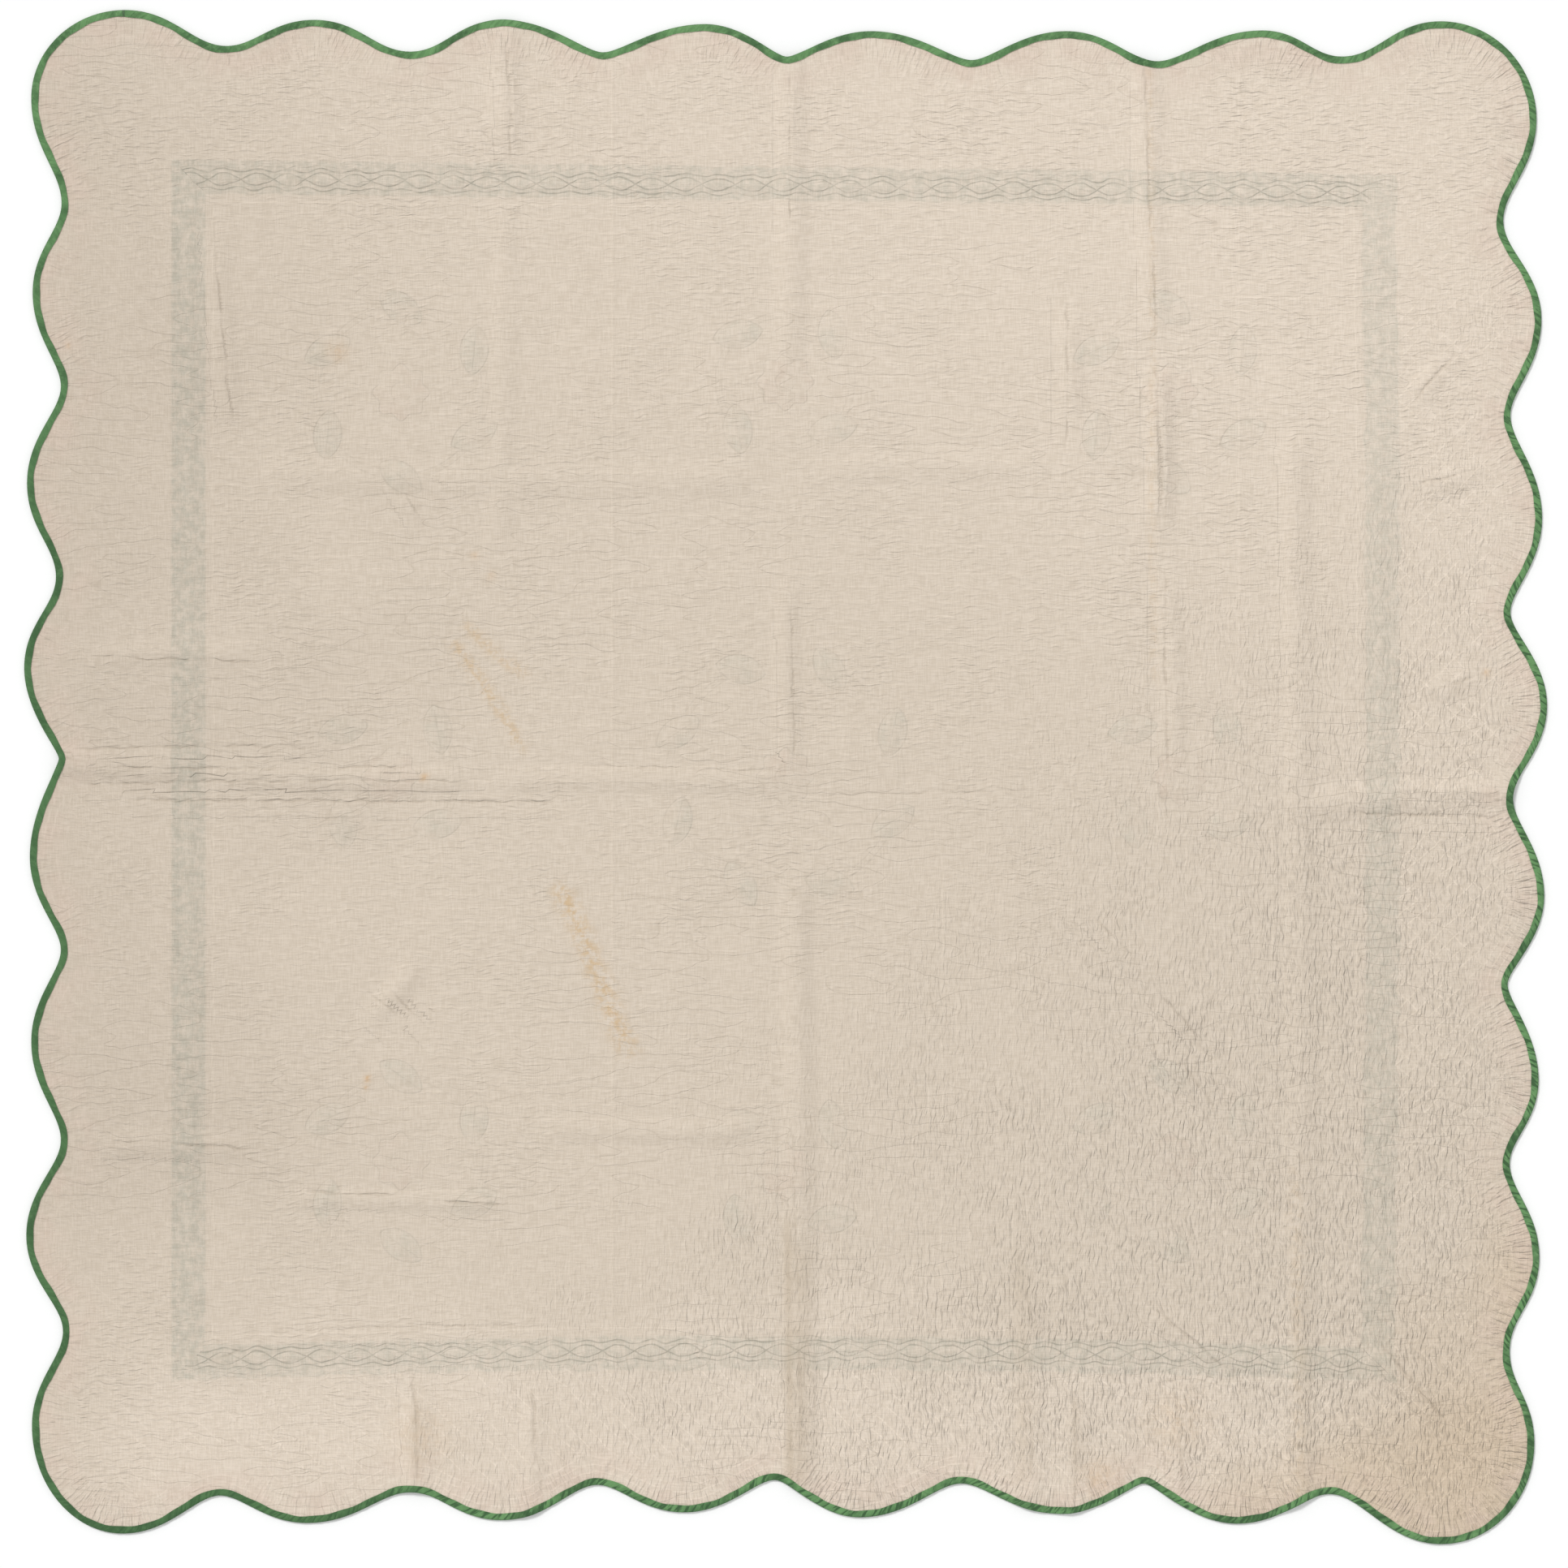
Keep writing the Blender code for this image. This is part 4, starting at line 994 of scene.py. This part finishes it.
# Binding: a narrow strip of green cotton cut on the bias, folded over the raw edge and sewn down
# by hand on both sides. It puckers where it is eased round the scallops.
BINDING_WIDTH = 10.0
BINDING_TIP = 0.6
BINDING_STEPS = 2600
NOSE = 1.9
PUCKER_WAVES = ((17.0, 0.45), (11.3, 0.3), (7.1, 0.2), (29.0, 0.25))
PUCKER_SLANT = 0.8
PUCKER_LEVEL = 0.25
PUCKER_DRIFTS = 37
EDGE_WANDER = 0.45
EDGE_WANDER_TURNS = (211, 83)
low = BINDING_CLOTH
high = BINDING_CLOTH + 2 * GAP + EDGE_THICKNESS
full = high + BINDING_CLOTH
nose = [(NOSE - NOSE * math.cos(math.radians(a)), full / 2 + full / 2 * math.sin(math.radians(a)))
        for a in (65, 40, 15, -15, -40, -65)]
section = np.array([(BINDING_WIDTH, high + BINDING_TIP), (8.0, full - 0.12), (6.0, full), (4.0, full), *nose,
                    (4.0, 0.0), (7.0, 0.0), (BINDING_WIDTH, 0.0), (BINDING_WIDTH, low), (BINDING_ROUND, low),
                    (BINDING_ROUND, high), (BINDING_WIDTH, high)])
length = runs(EDGE)[-1]
at = np.arange(BINDING_STEPS) / BINDING_STEPS * length
closed_way = np.concatenate((EDGE_WAY, EDGE_WAY[:1]))
middle = stretch(EDGE, 0.0, length - length / BINDING_STEPS, BINDING_STEPS - 1)
ways = np.stack([np.interp(at, runs(EDGE), closed_way[:, k]) for k in (0, 1)], axis=1)


def puckers(along, depth):
    """Small tucks across the strip: the sum of waves along it, slanted by the depth, each of whole
    turns round the edge, with its crests made sharper by 1 - |sine|."""
    total = np.zeros(np.broadcast(along, depth).shape)
    for pitch, size in PUCKER_WAVES:
        turns = round(length / pitch)
        phase = (along + PUCKER_SLANT * depth) / length * turns * math.pi
        drift = np.sin(along / length * 2 * math.pi * PUCKER_DRIFTS) * 2
        total = total + size * (1 - np.abs(np.sin(phase + drift)))
    return total


wander = EDGE_WANDER * sum(np.sin(at / length * 2 * math.pi * turns) for turns in EDGE_WANDER_TURNS)
depths = section[None, :, 0] + np.where(section[None, :, 0] >= BINDING_WIDTH, 1.0, 0.0) * wander[:, None]
bx = middle[:, None, 0] + ways[:, None, 1] * depths
by = middle[:, None, 1] - ways[:, None, 0] * depths
upper = (section[:, 1] > high) & (section[:, 0] > 0.3)
bz = section[None, :, 1] + rise(bx, by) + np.where(upper, puckers(at[:, None], depths) - PUCKER_LEVEL, 0.0)
ring_count = len(section)
index = np.arange(BINDING_STEPS * ring_count).reshape(BINDING_STEPS, ring_count)
after = np.roll(index, -1, axis=0)
faces = np.stack((index, after, np.roll(after, -1, axis=1), np.roll(index, -1, axis=1)), -1).reshape(-1, 4)
mesh = bpy.data.meshes.new("bias_binding")
mesh.from_pydata((np.dstack((bx, by, bz)).reshape(-1, 3) * MM).tolist(), [], faces.tolist())
mesh.update()
mesh.shade_smooth()
mesh.set_sharp_from_angle(angle=SHARP_ANGLE)
layer = mesh.attributes.new("strip", "FLOAT_VECTOR", "POINT")
layer.data.foreach_set("vector", np.dstack((np.broadcast_to(at[:, None], bx.shape), depths, bz)).ravel())
bias_binding = bpy.data.objects.new("bias_binding", mesh)
bpy.context.collection.objects.link(bias_binding)

GREEN = (0.140, 0.300, 0.116, 1.0)
GREEN_DARK = (0.045, 0.110, 0.042, 1.0)
GREEN_FADED = (0.190, 0.370, 0.155, 1.0)
THREAD_TURN = 2 * math.pi / 0.6
THREAD_HEIGHT = 0.01
TUCK_HEIGHT = 1.8
green_bias, shader = finish_of(
    "green_bias", roughness=0.85, sheen=0.3, sheen_tint=(0.8, 1.0, 0.8, 1.0))
start = Wire(green_bias.node_tree)
place = start.node("ShaderNodeTexCoord", {}, {}, "Object").vector("MULTIPLY", (1000.0, 1000.0, 1000.0))
px, py, _ = place.parts()
strip = start.attribute("strip")
along, depth, _ = strip.parts()
cloth = place.node("ShaderNodeRGB", {}, {})
cloth.socket.default_value = GREEN
worn = place.noise((60, 60, 60), detail=4.0, rough=0.6)
colour = cloth.dyed(GREEN_DARK, worn.smooth(0.35, 0.6, 0.8, 0.0))
colour = colour.dyed(GREEN_FADED, place.noise((9, 9, 9), detail=3.0, rough=0.6).smooth(0.45, 0.75) * 0.7)
slanted = strip.node("ShaderNodeCombineXYZ", {}, {0: along + depth * PUCKER_SLANT, 1: depth * 0.25, 2: 0.0})
tuck = slanted.noise((6.0, 6.0), detail=2.0, rough=0.6)
# Painted shade in the valleys of the tucks, stronger towards the lower right
tuck_shade_share = tuck.smooth(0.38, 0.52, 0.95, 0.0) * (px - py).smooth(-900.0, 900.0, 0.25, 1.0)
colour = colour.dyed(GREEN_DARK, tuck_shade_share)
# Painted shade along the rounded outer edge of the binding
colour = colour.dyed(GREEN_DARK, depth.smooth(0.3, 2.2, 0.5, 0.0))
# Darker towards the left, partly the green's own tone and partly painted shade, as on the muslin
colour = colour.dyed(GREEN_DARK, (px + py * 0.3).smooth(-1000.0, -700.0, 0.6, 0.0))
green_bias.node_tree.links.new(colour.socket, shader.inputs["Base Color"])
bias_threads = ((along + depth) * THREAD_TURN).math("SINE") + ((along - depth) * THREAD_TURN).math("SINE")
relief(shader, tuck * TUCK_HEIGHT + bias_threads * THREAD_HEIGHT + place.noise((3, 3, 3), detail=2.0) * 0.15)
bias_binding.data.materials.append(green_bias)
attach(bias_binding, "root")
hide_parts("edge_binding")


def plan_area(piece):
    """Half the summed area of the sheet's faces, which is one face of it, in square metres."""
    areas = np.empty(len(piece.data.polygons))
    piece.data.polygons.foreach_get("area", areas)
    return float(areas.sum()) / 2


CUT_SIZES = ((left_width, (0.840, 2.180)), (centre_width, (0.890, 2.130)), (right_width, (0.440, 2.160)))
for piece, flat_size in CUT_SIZES:
    round(plan_area(piece), 3)

# Pale floor, soft studio light and the camera straight above, as in the photo
FLOOR_HALF = 8.0
FLOOR_LEVEL = -0.0005
SKY_STRENGTH = 0.66
LAMP_STRENGTH = 1.55
LAMP_SPREAD = math.radians(14)
LAMP_FROM = Vector((-0.42, 0.55, 0.72))
WHITE = (1.0, 1.0, 1.0, 1.0)
floor_mesh = bpy.data.meshes.new("floor")
floor_mesh.from_pydata([(x * FLOOR_HALF, y * FLOOR_HALF, FLOOR_LEVEL) for x, y in
                        ((-1, -1), (1, -1), (1, 1), (-1, 1))], [], [(0, 1, 2, 3)])
floor = bpy.data.objects.new("floor", floor_mesh)
bpy.context.collection.objects.link(floor)
floor_paint = bpy.data.materials.new("floor_paint")
floor_paint.use_nodes = True
paint = floor_paint.node_tree.nodes["Principled BSDF"]
paint.inputs["Base Color"].default_value = WHITE
paint.inputs["Roughness"].default_value = 0.9
floor_mesh.materials.append(floor_paint)

world = bpy.data.worlds.new("studio")
world.use_nodes = True
world.node_tree.nodes["Background"].inputs["Color"].default_value = WHITE
world.node_tree.nodes["Background"].inputs["Strength"].default_value = SKY_STRENGTH
bpy.context.scene.world = world
lamp_data = bpy.data.lights.new("soft_lamp", "SUN")
lamp_data.energy = LAMP_STRENGTH
lamp_data.angle = LAMP_SPREAD
lamp = bpy.data.objects.new("soft_lamp", lamp_data)
lamp.rotation_euler = LAMP_FROM.to_track_quat("Z", "Y").to_euler()
bpy.context.collection.objects.link(lamp)
bpy.context.scene.view_settings.view_transform = "Standard"

LENS = 85.0
SENSOR = 36.0
PHOTO_WIDTH = 2.2249
PHOTO_MIDDLE = (-0.0023, -0.0098)
camera_data = bpy.data.cameras.new("camera")
camera_data.lens = LENS
camera_data.sensor_width = SENSOR
camera = bpy.data.objects.new("camera", camera_data)
camera.location = (*PHOTO_MIDDLE, PHOTO_WIDTH * LENS / SENSOR)
bpy.context.collection.objects.link(camera)
bpy.context.scene.camera = camera
